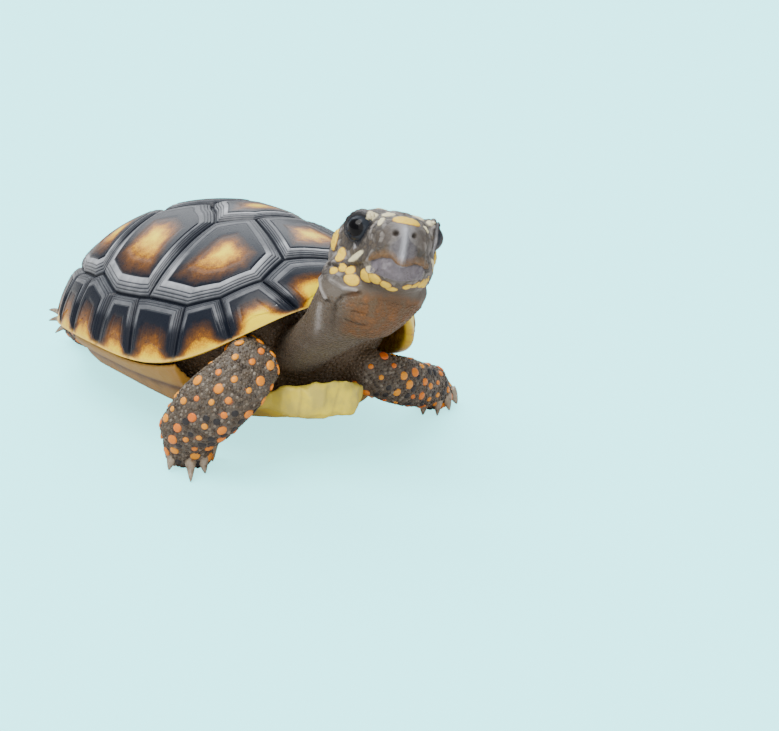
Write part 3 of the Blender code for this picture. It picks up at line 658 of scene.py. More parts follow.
    def seam_ring(self, ring: np.ndarray, places: np.ndarray, gold: np.ndarray,
                  lip: np.ndarray) -> np.ndarray:
        """Add the vertices on a seam that aren't there yet.

        Args:
            ring: disk points round a scute.
            places: the same points on the shell.
            gold: strength of the yellow marking.
            lip: 1 on the rim's edge.

        Returns:
            The numbers of all the ring's vertices.
        """
        numbers = []
        for disk, place, tone, edge in zip(ring, places, gold, lip):
            key = tuple(np.round(disk, 5) + 0.0)
            if key not in self.seam_numbers:
                tone = tone if edge > 0.5 else 0.0
                self.seam_numbers[key] = self.add(place[None], tone, 0.0, edge)[0]
            numbers.append(self.seam_numbers[key])
        return np.array(numbers)

    def close_inside(self) -> None:
        """Add the rounded rim and the inner wall to the open outer skin."""
        rim = [(math.atan2(x, -y), number) for (x, y), number in self.seam_numbers.items()
               if math.hypot(x, y) > 0.9995]
        rim.sort()
        angles = np.array([angle for angle, _ in rim])
        ways = np.stack((np.sin(angles), -np.cos(angles)), 1)
        last = np.array([number for _, number in rim])
        rows = [(self.dome.point(ways, shrink, lift), 0.82, 0.0, 0.9)
                for shrink, lift in ((0.15, -0.25), (0.8, -0.35), (1.45, -0.1))]
        for share in (0.97, 0.90, 0.77, 0.62, 0.44, 0.22):
            tone = 0.75 * smoothstep(0.70, 0.97, share)
            rows.append((self.dome.point(ways * share, self.wall), tone, 0.0, 0.0))
        for row in rows:
            level = self.add(*row)
            self.faces.extend(band(level, last))
            last = level
        top = self.add(self.dome.point(np.zeros((1, 2)), self.wall), 0.0, 0.0, 0.0)[0]
        self.faces.extend(face[::-1] for face in fan(last, top))

    def build(self, material: Material) -> Object:
        """Build the whole upper shell.

        Args:
            material: its finish.

        Returns:
            The finished piece.
        """
        corners = self.scutes.corners()
        for name, row in self.scutes.scutes().items():
            self.add_scute(name, corners, row)
        self.close_inside()
        piece = new_object("carapace_scutes", SHELL.to_world(np.array(self.points)), self.faces)
        for name, values in self.tones.items():
            store(piece.data, name, np.array(values))
        facing_out(piece)
        return finish_piece(piece, material, ["carapace"])


def facing_out(piece: Object) -> None:
    """Turn the faces of a closed piece outward."""
    work = bmesh.new()
    work.from_mesh(piece.data)
    bmesh.ops.recalc_face_normals(work, faces=work.faces)
    work.to_mesh(piece.data)
    work.free()
    piece.data.shade_smooth()


@dataclass
class Plastron:
    """Lower shell with its seams, its thick front lip and the bridges."""

    dome: Dome
    voxel: float = 0.42
    rounds: int = 24
    inflate: float = 0.12
    rim_gap: float = 0.75
    fold_height: float = 5.6            # of the crease along the bridge
    lip_middle: float = 6.6
    lip_rise: float = 1.6
    corner_tuck: float = 4.2            # how far the lip's lower corners are drawn up
    groove: float = 0.22
    groove_width: float = 0.30
    ring_step: float = 0.8              # from one growth ring to the next
    front: float = -42.2
    length: float = 79.8
    seams: tuple = ((0.29, 0.10), (0.37, -0.10), (0.71, 0.06), (0.88, 0.16))  # place and slant

    def rim_under(self, local: np.ndarray) -> np.ndarray:
        """Return the height at which the lower shell stops beneath the carapace's rim."""
        away = np.maximum(-local[:, 1] / (self.dome.length / 2), 0.0)
        away = away ** (1 / self.dome.plan_power)
        rise = self.dome.front_rise * away ** self.dome.front_power
        return self.dome.rim_side + rise - self.rim_gap

    def seam_distance(self, local: np.ndarray) -> np.ndarray:
        """Return the distance from each point to the nearest seam.

        Args:
            local: points in the shell's frame.

        Returns:
            Distances in millimetres.
        """
        x, along, level = local.T
        across = np.abs(x)
        sway = 0.35 * np.sin(along * 0.55) + 0.45 * np.sin(level * 0.9)
        distance = np.abs(x - sway)
        for share, slant in self.seams:
            line = self.front + share * self.length + slant * across
            distance = np.minimum(distance, np.abs(along - line))
        gular = self.front + 0.115 * self.length - 0.86 * across
        return np.minimum(distance, np.abs(along - gular) * 0.78)

    def shape_lip(self, points: np.ndarray, local: np.ndarray) -> None:
        """Raise, swell and tuck the thick front lip.

        Args:
            points: the vertices in the world, which are moved.
            local: where they lay in the shell's frame.
        """
        x, along, level = local.T
        across = np.abs(x)
        middle = self.lip_middle - 0.0235 * x ** 2
        raised = self.lip_rise + 0.42 * np.maximum(across - 7.0, 0.0)
        raised *= smoothstep(-28.5, -34.5, along) * smoothstep(-1.6, 1.6, level - middle)
        ends = smoothstep(11.5, 15.5, across)
        raised -= 1.3 * ends * smoothstep(-30.0, -33.0, along) * (level > middle)
        points += SHELL.turn[:, 2] * raised[:, None]
        swelling = bump(level, middle + 0.9, 2.6) * smoothstep(-31.0, -35.0, along)
        lobe = 0.5 + 0.5 * np.cos(math.tau * (across - 4.6) / 9.2)
        points -= SHELL.turn[:, 1] * (swelling * (0.75 + 0.55 * lobe))[:, None]
        corner = self.corner_tuck * smoothstep(6.5, 14.5, across) * smoothstep(-23.0, -32.0, along)
        corner *= smoothstep(middle + 1.0, middle - 3.5, level)
        points += SHELL.turn[:, 2] * corner[:, None]

    def build(self, material: Material) -> Object:
        """Build the lower shell from its solid, with the masks of its markings and of its painted
        shade.

        Args:
            material: its finish.

        Returns:
            The finished piece.
        """
        piece = from_forms("plastron_scutes", swollen(merged_copy("plastron"), self.inflate))
        remeshed(piece, self.voxel)
        mesh = piece.data
        points = relax(mesh, self.rounds)
        local = SHELL.to_local(points)
        x, along, level = local.T
        across = np.abs(x)
        distance = self.seam_distance(local)
        free = smoothstep(22.5, 19.0, across)
        lip = smoothstep(-30.0, -36.0, along)
        bridge = smoothstep(23.0, 25.5, across)
        seam = bump(distance, 0.0, self.groove_width) * free * (1 - 0.5 * lip)
        rings = 0.5 + 0.5 * np.cos(math.tau * distance / self.ring_step)
        growth = rings * smoothstep(3.4, 0.6, distance) * smoothstep(0.25, 0.6, distance) * free
        swell = fractal(points, 6.0, 2) + 0.45 * fractal(points, 2.6, 2)
        fold = bump(level, self.fold_height, 0.75) * bridge
        depth = (self.inflate + self.groove * seam * (1 + 0.3 * lip) + 0.05 * growth
                 - 0.85 * swell * lip + 0.40 * fold - 0.06 * fractal(points, 1.6, 3))
        points = points - normals_of(mesh) * depth[:, None]
        self.shape_lip(points, local)
        over = SHELL.to_local(points)[:, 2] - self.rim_under(local)
        points -= SHELL.turn[:, 2] * np.maximum(over, 0.0)[:, None] * bridge[:, None]
        move_points(mesh, points)
        # band is the bridge under the carapace's rim, painted a darker gold-brown that is partly
        # its own colour and partly painted shade under the rim; fold is the crease along the
        # bridge, painted brown as shade.
        masks = {"seam": seam, "side": across, "along": (along - self.front) / self.length,
                 "band": smoothstep(self.fold_height + 0.3, self.fold_height + 1.5, level) * bridge,
                 "fold": fold, "amber": smoothstep(-20.0, -23.5, along) * bridge}
        for name, mask in masks.items():
            store(mesh, name, mask)
        return finish_piece(piece, material, ["plastron"])


# --- flesh -------------------------------------------------------------------------

LEGS = ("foreleg_right", "foreleg_left", "hindleg_right", "hindleg_left")
FEET = {leg: leg.replace("leg", "foot") for leg in LEGS}
LEG_NODES = {leg: (f"{leg}_upper", f"{leg}_lower", FEET[leg]) for leg in LEGS}
FLESH = ("trunk", "head", "jaw", "neck", "tail", *(node for leg in LEGS for node in LEG_NODES[leg]))
BEAKS = ("beak_upper", "beak_lower")

EYE_RADIUS = 3.2


@dataclass(frozen=True)
class Socket:
    """Where an eye sits and the way it looks, in the head's frame."""

    place: np.ndarray
    gaze: np.ndarray


SOCKETS = {Side.RIGHT: Socket(np.array((-7.3, -0.5, -0.2)), unit(np.array((-0.57, -0.81, -0.09)))),
           Side.LEFT: Socket(np.array((6.3, -0.5, -0.4)), unit(np.array((0.99, 0.02, 0.0))))}


class Tone(Enum):
    """Colour of a raised scale on the head, as the name of its mask."""

    YELLOW = "yellow"
    CREAM = "cream"
    PLAIN = "plain"


@dataclass(frozen=True)
class Shield:
    """One raised scale on the head, in the head's frame."""

    place: tuple
    half_length: float
    half_width: float
    axis: tuple
    tone: Tone
    rise: float = 0.28

    def spread(self, points: np.ndarray, normals: np.ndarray) -> np.ndarray:
        """Return 0 at the middle of the scale and 1 at its edge.

        Args:
            points: places in the head's frame.
            normals: directions in the same frame.

        Returns:
            One number for each point.
        """
        gap = points - np.array(self.place)
        nearest = np.argmin(np.sum(gap * gap, 1))
        out = normals[nearest]
        gap = points - points[nearest]
        long_way = unit(np.array(self.axis) - out * np.dot(self.axis, out))
        wide_way = np.cross(out, long_way)
        return np.sqrt((gap @ long_way / self.half_length) ** 2
                       + (gap @ wide_way / self.half_width) ** 2 + (gap @ out / 2.5) ** 2)


@dataclass(frozen=True)
class Fold:
    """One fold of the throat and neck along a line in the head's frame."""

    path: tuple
    width: float
    height: float                       # under 0 for a crease

    def nearness(self, points: np.ndarray) -> np.ndarray:
        """Return 1 on the fold's line, falling to 0 beside it."""
        nearest = np.full(len(points), np.inf)
        path = np.array(self.path)
        for start, end in zip(path[:-1], path[1:]):
            way = end - start
            share = np.clip((points - start) @ way / (way @ way), 0, 1)
            gap = np.linalg.norm(points - start - share[:, None] * way, axis=1)
            nearest = np.minimum(nearest, gap)
        return bump(nearest, 0.0, self.width)


FOLDS = (
    Fold(((-12.9, 5.0, -9.3), (-12.3, 0.2, -11.5), (-9.8, -1.5, -12.8),
         (-7.2, -2.3, -12.9)), 0.34, 0.45),
    Fold(((-14.0, 4.5, -10.8), (-14.0, 1.7, -13.4), (-12.9, 0.2, -15.2)), 0.36, 0.45),
    Fold(((-13.7, 1.9, -16.9), (-13.3, 3.7, -20.6), (-13.8, 6.5, -24.5)), 0.75, 0.22),
    Fold(((-6.4, -2.3, -13.6), (-9.6, -1.6, -14.5), (-10.8, -1.2, -16.2),
         (-10.9, 0.0, -17.8)), 0.40, -0.75),
    Fold(((-10.9, 0.0, -17.8), (-10.6, 1.9, -20.5), (-11.0, 3.7, -22.5),
         (-10.5, 7.0, -27.0)), 0.48, -0.40),
    Fold(((-13.6, 1.8, -14.2), (-12.0, -0.2, -16.2)), 0.32, -0.40),
    Fold(((-15.4, 6.5, -17.0), (-15.2, 9.0, -22.0)), 0.48, -0.35),
    Fold(((6.6, -2.2, -13.4), (7.4, -1.0, -15.5), (6.6, 0.6, -18.5), (4.0, 2.0, -21.5)),
         0.60, -0.55),
    Fold(((12.6, 1.0, -11.4), (9.6, -1.4, -12.8), (7.4, -2.2, -12.9)), 0.34, 0.40),
    Fold(((13.9, 2.0, -13.4), (13.2, 3.9, -20.6)), 0.48, 0.35),
    Fold(((-6.0, -2.0, -15.6), (-1.5, -2.2, -16.0), (3.6, -1.6, -15.4)), 0.24, -0.32),
    Fold(((-7.4, -1.2, -17.2), (-2.0, -1.4, -18.0), (4.6, -0.6, -17.2)), 0.24, -0.32),
    Fold(((-8.2, 0.2, -19.0), (-2.0, 0.0, -20.2), (4.8, 0.8, -19.0)), 0.26, -0.32),
    Fold(((-8.0, 2.0, -21.4), (-2.0, 2.0, -22.8), (4.0, 3.0, -21.4)), 0.30, -0.32),
)

MOUTH_ACROSS = (0.0, 1.1, 2.4, 4.2, 5.6, 6.6, 8.8, 11.0)
MOUTH_LEVEL = (-7.7, -7.45, -6.3, -6.3, -6.9, -7.6, -8.0, -8.2)
MOUTH_DROP = 0.6                    # how much lower the left half hangs
NOSTRIL_ACROSS = 1.95
NOSTRIL_LEVEL = -1.3


def mouth_height(local: np.ndarray) -> np.ndarray:
    """Return how far points of the head's frame lie above the line of the mouth."""
    across = local[:, 0] - 0.3
    level = np.interp(np.abs(across), MOUTH_ACROSS, MOUTH_LEVEL)
    return local[:, 2] - level + MOUTH_DROP * smoothstep(0.8, 2.6, across)


HEAD_SHIELDS = (
    Shield((0.5, -8.3, 2.3), 3.0, 2.3, (1, 0.1, 0), Tone.YELLOW, 0.34),
    Shield((-5.4, -3.2, 3.3), 1.5, 1.0, (0.3, 1, 0), Tone.CREAM, 0.34),
    Shield((-4.6, -6.6, 1.4), 1.6, 0.85, (0, 0.6, 1), Tone.CREAM),
    Shield((-2.9, -4.2, 3.6), 1.6, 1.3, (1, 0.4, 0), Tone.CREAM),
    Shield((4.0, -2.2, 3.8), 1.4, 1.1, (1, -0.4, 0), Tone.CREAM),
    Shield((6.2, -3.2, 2.8), 0.9, 0.7, (1, 0, 0), Tone.CREAM),
    Shield((5.2, -6.4, 0.9), 1.0, 0.7, (0, 0, 1), Tone.CREAM),
    Shield((0.6, 0.6, 5.0), 2.6, 2.2, (0, 1, 0), Tone.PLAIN, 0.22),
    Shield((-3.4, 3.6, 5.0), 1.8, 1.5, (0, 1, 0), Tone.CREAM, 0.22),
    Shield((3.6, 3.6, 5.0), 1.8, 1.5, (0, 1, 0), Tone.CREAM, 0.22),
    Shield((0.0, 5.6, 5.2), 1.7, 1.4, (1, 0, 0), Tone.PLAIN, 0.20),
    Shield((-6.6, 6.4, 3.4), 1.6, 1.2, (0, 1, 0), Tone.PLAIN, 0.20),
    Shield((6.6, 6.4, 3.4), 1.6, 1.2, (0, 1, 0), Tone.PLAIN, 0.20),
    Shield((-11.0, 6.1, -2.7), 2.6, 1.25, (0, 0.2, 1), Tone.YELLOW, 0.40),
    Shield((-10.6, 2.0, -6.1), 1.75, 1.25, (0, 0.6, 1), Tone.YELLOW, 0.42),
    Shield((-8.2, -2.5, -6.0), 2.9, 0.8, (0.4, -0.9, 0.35), Tone.CREAM, 0.16),
    Shield((11.0, 6.1, -2.7), 2.6, 1.25, (0, 0.2, 1), Tone.YELLOW, 0.40),
    Shield((10.9, 2.6, -5.7), 1.7, 1.3, (0, 0, 1), Tone.YELLOW, 0.42),
    Shield((7.9, -3.1, -5.8), 2.3, 0.6, (-0.4, -0.9, 0.35), Tone.CREAM, 0.16),
    Shield((-11.2, 1.6, -9.6), 1.1, 0.9, (0, 1, 0), Tone.YELLOW),
    Shield((-10.2, 0.2, -8.7), 1.0, 0.9, (0, 1, 0), Tone.YELLOW),
    Shield((-8.9, -1.3, -8.9), 1.1, 1.0, (0, 1, 0), Tone.YELLOW),
    Shield((-8.3, -2.2, -10.8), 1.7, 1.25, (0.4, -1, 0), Tone.YELLOW, 0.40),
    Shield((-6.7, -4.6, -10.5), 1.8, 1.6, (0.4, -1, 0), Tone.YELLOW, 0.38),
    Shield((-5.6, -6.5, -8.8), 1.9, 0.85, (0.5, -1, 0), Tone.CREAM, 0.26),
    Shield((-4.6, -6.6, -10.9), 2.0, 1.6, (0.8, -0.6, 0), Tone.YELLOW, 0.38),
    Shield((-2.4, -7.3, -11.9), 1.4, 1.2, (1, -0.3, 0), Tone.YELLOW, 0.34),
    Shield((-0.7, -6.2, -12.7), 1.3, 1.1, (1, 0, 0), Tone.YELLOW),
    Shield((2.5, -7.4, -11.6), 1.0, 0.85, (1, 0, 0), Tone.YELLOW),
    Shield((4.4, -6.4, -11.0), 1.2, 1.0, (1, 0.4, 0), Tone.YELLOW),
    Shield((6.2, -4.6, -10.4), 1.4, 1.1, (0.5, 1, 0), Tone.YELLOW),
    Shield((7.7, -2.2, -10.4), 1.5, 1.2, (0.4, 1, 0), Tone.YELLOW),
    Shield((8.9, -0.2, -9.3), 1.1, 0.9, (0, 1, 0), Tone.YELLOW),
)


@dataclass
class Skin:
    """One skin over the trunk, neck, head, tail and legs, sculpted on the head and throat."""

    inflate: float = 0.32               # swells the solids, so that they run together
    coat_depth: float = 0.16            # how far the skin lies inside the solids
    coarse: float = 0.5                 # width of the faces while the forms are smoothed
    fine: float = 0.25
    coarse_rounds: int = 26
    fine_rounds: int = 8
    plate_size: float = 1.5             # of the small scales of the face
    lid_radius: float = 3.62
    lid_opening: float = 60.0           # degrees from the gaze to the edge of the lids
    trunk_ends: tuple = (-12.0, 15.0)   # the trunk is left out between these places
    neck_lift: float = 1.3
    head_turn: float = 1.3              # how far the back of the head swings to the right
    most_triangles: int = 192000

    def forms(self) -> bmesh.types.BMesh:
        """Return all closed forms under the skin in one mesh."""
        together = bmesh.new()
        scratch = bpy.data.meshes.new("scratch")
        for node in (*FLESH, *BEAKS):
            for copy in self.trunk_parts() if node == "trunk" else (merged_copy(node),):
                swollen(copy, self.inflate).to_mesh(scratch)
                copy.free()
                together.from_mesh(scratch)
        bpy.data.meshes.remove(scratch)
        for side in Side:
            place = HEAD.to_world(SOCKETS[side].place)[0] * MM
            bmesh.ops.create_icosphere(together, subdivisions=4,
                                       radius=(self.lid_radius + self.inflate + 0.1) * MM,
                                       matrix=Matrix.Translation(Vector(place)))
        return together

    def trunk_parts(self) -> list[bmesh.types.BMesh]:
        """Return the front and the rear end of the trunk, each closed."""
        parts = []
        for place, way in zip(self.trunk_ends, (1, -1)):
            copy = merged_copy("trunk")
            cut = bmesh.ops.bisect_plane(
                copy, geom=[*copy.verts, *copy.edges, *copy.faces],
                plane_co=Vector(SHELL.to_world(np.array((0.0, place, 0.0)))[0] * MM),
                plane_no=Vector(SHELL.turn @ (0.0, way, 0.0)), clear_outer=True)
            edges = [item for item in cut["geom_cut"] if isinstance(item, bmesh.types.BMEdge)]
            bmesh.ops.holes_fill(copy, edges=edges)
            bmesh.ops.triangulate(copy, faces=copy.faces)
            parts.append(copy)
        return parts

    def nearest_part(self, points: np.ndarray) -> np.ndarray:
        """Return for each point the name of the nearest solid of flesh."""
        verts, faces, names = [], [], []
        for node in (*FLESH, *BEAKS):
            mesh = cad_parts[node].data
            start = len(verts)
            verts.extend(vert.co for vert in mesh.vertices)
            for face in mesh.polygons:
                faces.append([start + number for number in face.vertices])
                names.append(node)
        tree = BVHTree.FromPolygons(verts, faces)
        return np.array([names[tree.find_nearest(Vector(p) * MM)[2]] for p in points])

    def base(self) -> Object:
        """Return the smooth skin before it is sculpted."""
        piece = from_forms("skin", self.forms())
        remeshed(piece, self.coarse)
        relax(piece.data, self.coarse_rounds)
        remeshed(piece, self.fine)
        points = relax(piece.data, self.fine_rounds)
        points = points - normals_of(piece.data) * (self.inflate + self.coat_depth)
        points[:, 2] = np.maximum(points[:, 2], 0.0)
        move_points(piece.data, points)
        return piece

    def open_lids(self, points: np.ndarray, side: Side) -> np.ndarray:
        """Part the lids: wrap them round the eyeball and sink the skin behind it.

        Args:
            points: places in the head's frame.
            side: which eye.

        Returns:
            The moved points.
        """
        centre, gaze = SOCKETS[side].place, SOCKETS[side].gaze
        away = points - centre
        reach = np.linalg.norm(away, axis=1)
        near = (reach < 5.2) & (away @ gaze > -0.6)
        way = unit(away)
        off_axis = degrees_from(gaze, way)
        up = unit(np.array((0.0, 0.15, 1.0)) - gaze * gaze[2])
        rise = (way @ up) / np.maximum(np.sin(np.radians(off_axis)), 1e-3)
        opening = self.lid_opening * (1 - 0.13 * np.clip(rise, 0, 1) - 0.04 * np.clip(-rise, 0, 1))
        lid = self.lid_radius + 0.20 * bump(off_axis, opening + 7.0, 5.0)
        inside = smoothstep(opening + 2.0, opening - 3.0, off_axis)
        blend = smoothstep(5.0, 4.1, reach) * smoothstep(112.0, 80.0, off_axis)
        target = np.where(inside > 0, lid + (2.5 - lid) * inside, lid)
        creases = ((15.0, 4.0, -0.22), (33.0, 4.0, -0.20), (24.0, 4.5, 0.20))
        target += sum(height * bump(off_axis, opening + place, width)
                      for place, width, height in creases)
        radius = np.where(near, reach + (target - reach) * blend, reach)
        return centre + way * radius[:, None]

    def head_relief(self, local: np.ndarray) -> np.ndarray:
        """Return the relief of the mouth, lips, brow, cheeks and nostrils.

        Args:
            local: points in the head's frame.

        Returns:
            How far each point stands over the smooth form.
        """
        x, y, z = local.T
        over = mouth_height(local)
        face = smoothstep(4.0, 2.4, y)
        muzzle = smoothstep(-8.0, -10.5, y)
        ridge = (0.70 * bump(x, 0.0, 0.68) * muzzle * smoothstep(-9.0, -6.0, z)
                 * smoothstep(1.2, -0.6, z))
        groove = -0.42 * bump(over, 0.0, 0.24) * face
        lip = 0.20 * smoothstep(0.1, 0.5, over) * smoothstep(2.2, 0.8, over) * face
        under = -0.30 * smoothstep(-0.05, -0.4, over) * smoothstep(-2.4, -0.8, over) * face
        brow = 0.50 * bump(np.abs(x), 6.4, 2.0) * bump(y, -1.0, 4.0) * smoothstep(1.0, 3.0, z)
        brow -= (0.55 * bump(x, 0.0, 3.6) * smoothstep(-8.0, -5.0, y)
                 * smoothstep(8.0, 4.0, y) * (z > 0))
        cheek = -0.45 * bump(np.abs(x), 6.6, 1.6) * bump(z, -3.4, 1.5) * bump(y, -7.0, 2.4)
        cheek -= 0.40 * bump(np.abs(x), 10.6, 2.0) * bump(z, -6.0, 3.0) * bump(y, 1.0, 6.0)
        relief = ridge + groove + lip + under + brow + cheek
        for side in (-1, 1):
            pit = np.sqrt((x - side * NOSTRIL_ACROSS) ** 2 + (z - NOSTRIL_LEVEL) ** 2) / 0.52
            sunk = 0.10 * bump(pit, 1.6, 0.4) - 0.95 * np.exp(-pit ** 3)
            relief += sunk * smoothstep(-10, -11, y)
        return relief

    def folds(self, local: np.ndarray) -> np.ndarray:
        """Return the relief of all folds, the stronger of two that meet."""
        relief = np.zeros(len(local))
        for fold in FOLDS:
            part = fold.nearness(local) * fold.height
            relief = np.where(np.abs(part) > np.abs(relief), part, relief)
        return relief

    def shields(self, local: np.ndarray, normals: np.ndarray) -> tuple[np.ndarray, dict]:
        """Return the relief of the raised head scales and the mask of each tone.

        Args:
            local: points in the head's frame.
            normals: directions in the same frame.

        Returns:
            Height of each point over the smooth head, and a mask for each tone.
        """
        relief = np.zeros(len(local))
        masks = {tone: np.zeros(len(local)) for tone in Tone}
        near = np.flatnonzero(local[:, 1] < 14)
        spreads = np.stack([shield.spread(local[near], normals[near]) for shield in HEAD_SHIELDS])
        order = np.sort(spreads, axis=0)
        apart = smoothstep(0.04, 0.30, order[1] - order[0])
        owner = np.argmin(spreads, axis=0)
        for number, shield in enumerate(HEAD_SHIELDS):
            spread = np.where(owner == number, spreads[number], 9.0)
            crown = shield.rise * np.maximum(1 - spread ** 2.6, 0) ** 0.8 * (0.35 + 0.65 * apart)
            relief[near] += crown - 0.10 * bump(spread, 1.10, 0.10)
            masks[shield.tone][near] += smoothstep(1.04, 0.86, spread) * (0.25 + 0.75 * apart)
        return relief, masks

    def cells(self, points: np.ndarray, size: float, seed: int) -> tuple[np.ndarray, np.ndarray]:
        """Divide a surface in small irregular scales.

        Args:
            points: places on the surface.
            size: about how wide a scale is.
            seed: seed of the random draw.

        Returns:
            For each point 0 on the border of a scale and 1 within, and its scale's tint.
        """
        rng = np.random.default_rng(seed)
        middles = {}
        for number in rng.permutation(len(points)):
            middles.setdefault(tuple((points[number] // size).astype(int)), int(number))
        tints = rng.random(len(points))
        kept = KDTree(len(middles))
        for number in middles.values():
            kept.insert(Vector(points[number]), number)
        kept.balance()
        found = np.empty(len(points))
        tint = np.empty(len(points))
        for number, point in enumerate(points):
            (_, owner, first), (_, _, second) = kept.find_n(Vector(point), 2)
            found[number] = second - first
            tint[number] = tints[owner]
        return smoothstep(0.0, 0.40 * size, found), tint

    def lifted(self, points: np.ndarray, normals: np.ndarray) -> np.ndarray:
        """Return how far the underside of the neck is drawn up.

        Args:
            points: places in the world.
            normals: directions in the world.

        Returns:
            One distance for each point.
        """
        x, y, z = SHELL.to_local(points).T
        under = smoothstep(-0.1, -0.8, normals @ SHELL.turn[:, 2])
        under *= smoothstep(-33.0, -40.0, y) * smoothstep(-60.0, -54.0, y)
        under *= bump(x, 0.0, 13.0) * smoothstep(9.0, 13.0, z)
        return self.neck_lift * under

    def build(self, material: Material) -> Object:
        """Build the skin, with the masks that it shares with the coat.

        Args:
            material: its finish.

        Returns:
            The finished piece.
        """
        piece = self.base()
        mesh = piece.data
        points = points_of(mesh)
        head = np.flatnonzero(self.head_weight(HEAD.to_local(points)) > 0)
        local = HEAD.to_local(points[head])
        back = smoothstep(-3.0, 5.0, local[:, 1]) * smoothstep(14.0, 9.0, local[:, 1])
        local[:, 0] -= self.head_turn * back * smoothstep(-13.0, -8.0, local[:, 2])
        for side in Side:
            local = self.open_lids(local, side)
        points[head] = HEAD.to_world(local)
        move_points(mesh, points)
        normals = normals_of(mesh)
        local_normals = normals[head] @ HEAD.turn
        weight = self.head_weight(local)
        relief = self.head_relief(local) * weight
        plates, tint = self.cells(points[head], self.plate_size, SEED)
        bare = (0.5 + 0.5 * smoothstep(-10.5, -8.0, local[:, 1])) * weight
        bare *= smoothstep(-12.5, -10.0, local[:, 2])
        relief -= 0.12 * (1 - plates) * bare
        points += SHELL.turn[:, 2] * self.lifted(points, normals)[:, None]
        raised, masks = self.shields(local, local_normals)
        relief += raised
        points[head] += normals[head] * relief[:, None]
        points[:, 2] = np.maximum(points[:, 2], 0.0)
        neck = np.flatnonzero(HEAD.to_local(points)[:, 1] < 20.0)
        folds = self.folds(HEAD.to_local(points[neck]))
        points[neck] += normals[neck] * folds[:, None]
        move_points(mesh, points)
        kept = {"yellow": masks[Tone.YELLOW], "cream": masks[Tone.CREAM],
                "tint": (tint - 0.5) * bare * smoothstep(-14.5, -11.5, local[:, 2]),
                "groove": (1 - plates) * bare}
        for name, values in kept.items():
            store_part(mesh, name, head, values)
        self.thin(piece, points)
        self.paint(piece.data)
        return finish_piece(piece, material, FLESH)

    def paint(self, mesh: Mesh) -> None:
        """Keep the masks of the lids, snout, throat, folds and hollows beside the limbs; among them
        are painted highlights on the lid margins, snout ridge and fold ridges, and painted shade in
        the creases, mouth, nostrils and hollows.

        Args:
            mesh: the finished skin.
        """
        points = points_of(mesh)
        local = HEAD.to_local(points)
        x, y, z = local.T
        lid = np.zeros(len(points))
        edge = np.zeros(len(points))
        for side in Side:
            away = local - SOCKETS[side].place
            reach = np.linalg.norm(away, axis=1)
            off_axis = degrees_from(SOCKETS[side].gaze, unit(away))
            lid = np.maximum(lid, smoothstep(4.5, 3.9, reach) * smoothstep(79.0, 70.0, off_axis))
            # A pale painted highlight along the lid margins, strongest on the lower lid.
            below = 0.25 + 0.75 * smoothstep(0.4, -0.6, away[:, 2])
            rim = bump(off_axis, self.lid_opening + 10.0, 3.0) * (reach < 4.5)
            edge = np.maximum(edge, rim * below)
        store(mesh, "lid", lid)
        store(mesh, "lid_edge", edge)
        # The nostril pits are painted dark as shade and kept clear of the snout's pale tone and the
        # lighter scales; the snout's pale tone is partly a painted highlight along its ridge.
        pits = np.hypot(np.abs(x - 0.1) - NOSTRIL_ACROSS, z - NOSTRIL_LEVEL) / 0.62
        pits = np.exp(-pits ** 4) * (y < -9.0)
        snout = bump(x, 0.0, 0.9) * smoothstep(-9.5, -11.0, y) * smoothstep(0.8, -0.4, z)
        snout += 0.40 * smoothstep(-8.0, -10.0, y) * smoothstep(-12.5, -11.0, z) * bump(x, 0.0, 2.6)
        store(mesh, "snout", snout * (1 - pits))
        store(mesh, "tint", read(mesh, "tint") * (1 - pits))
        throat = (smoothstep(-12.2, -14.2, z) * smoothstep(-30.0, -21.0, z)
                  * smoothstep(9.5, 6.5, np.abs(x + 0.5)) * smoothstep(6.0, 2.0, y))
        store(mesh, "throat", throat)
        # Fold ridges are painted pale as highlights; creases, the mouth line and the nostril pits
        # are painted dark as shade.
        folds = self.folds(local)
        store(mesh, "ridge", np.clip(folds / 0.40, 0, 1))
        mouth = bump(mouth_height(local), 0.0, 0.30) * smoothstep(4.0, 2.0, y) * (z > -9.5)
        store(mesh, "crease", np.clip(np.maximum(np.maximum(-folds / 0.42, mouth), pits), 0, 1))
        # hollow: painted shade on the skin near the trunk, where it runs in under the shell.
        parts = self.nearest_part(points)
        gap, _ = distance_to(points, points[parts == "trunk"])
        store(mesh, "hollow", smoothstep(6.0, 0.5, gap))

    def surface(self, piece: Object) -> "Surface":
        """Return the finished skin as a surface for the coat."""
        return Surface(piece, self.nearest_part(points_of(piece.data)))

    def head_weight(self, local: np.ndarray) -> np.ndarray:
        """Return 1 on the head and 0 on the neck and body."""
        return smoothstep(15.0, 11.0, local[:, 1]) * smoothstep(-19.0, -14.0, local[:, 2])

    def thin(self, piece: Object, points: np.ndarray) -> None:
        """Merge faces away from the head until the skin is light enough.

        Args:
            piece: the skin.
            points: its vertices.
        """
        group = piece.vertex_groups.new(name="thin")
        weight = 1.0 - 0.9 * self.head_weight(HEAD.to_local(points))
        for level in np.linspace(0.1, 1.0, 10):
            chosen = np.flatnonzero(np.abs(weight - level) <= 0.05)
            if len(chosen):
                group.add(chosen.tolist(), float(level), "REPLACE")
        modifier = piece.modifiers.new("thin", "DECIMATE")
        modifier.vertex_group = group.name
        modifier.ratio = min(1.0, self.most_triangles / (2 * len(piece.data.polygons)))
        apply_modifiers(piece)
        piece.vertex_groups.clear()
        piece.data.shade_smooth()


# --- eyes, beaks and claws ------------------------------------------------------------

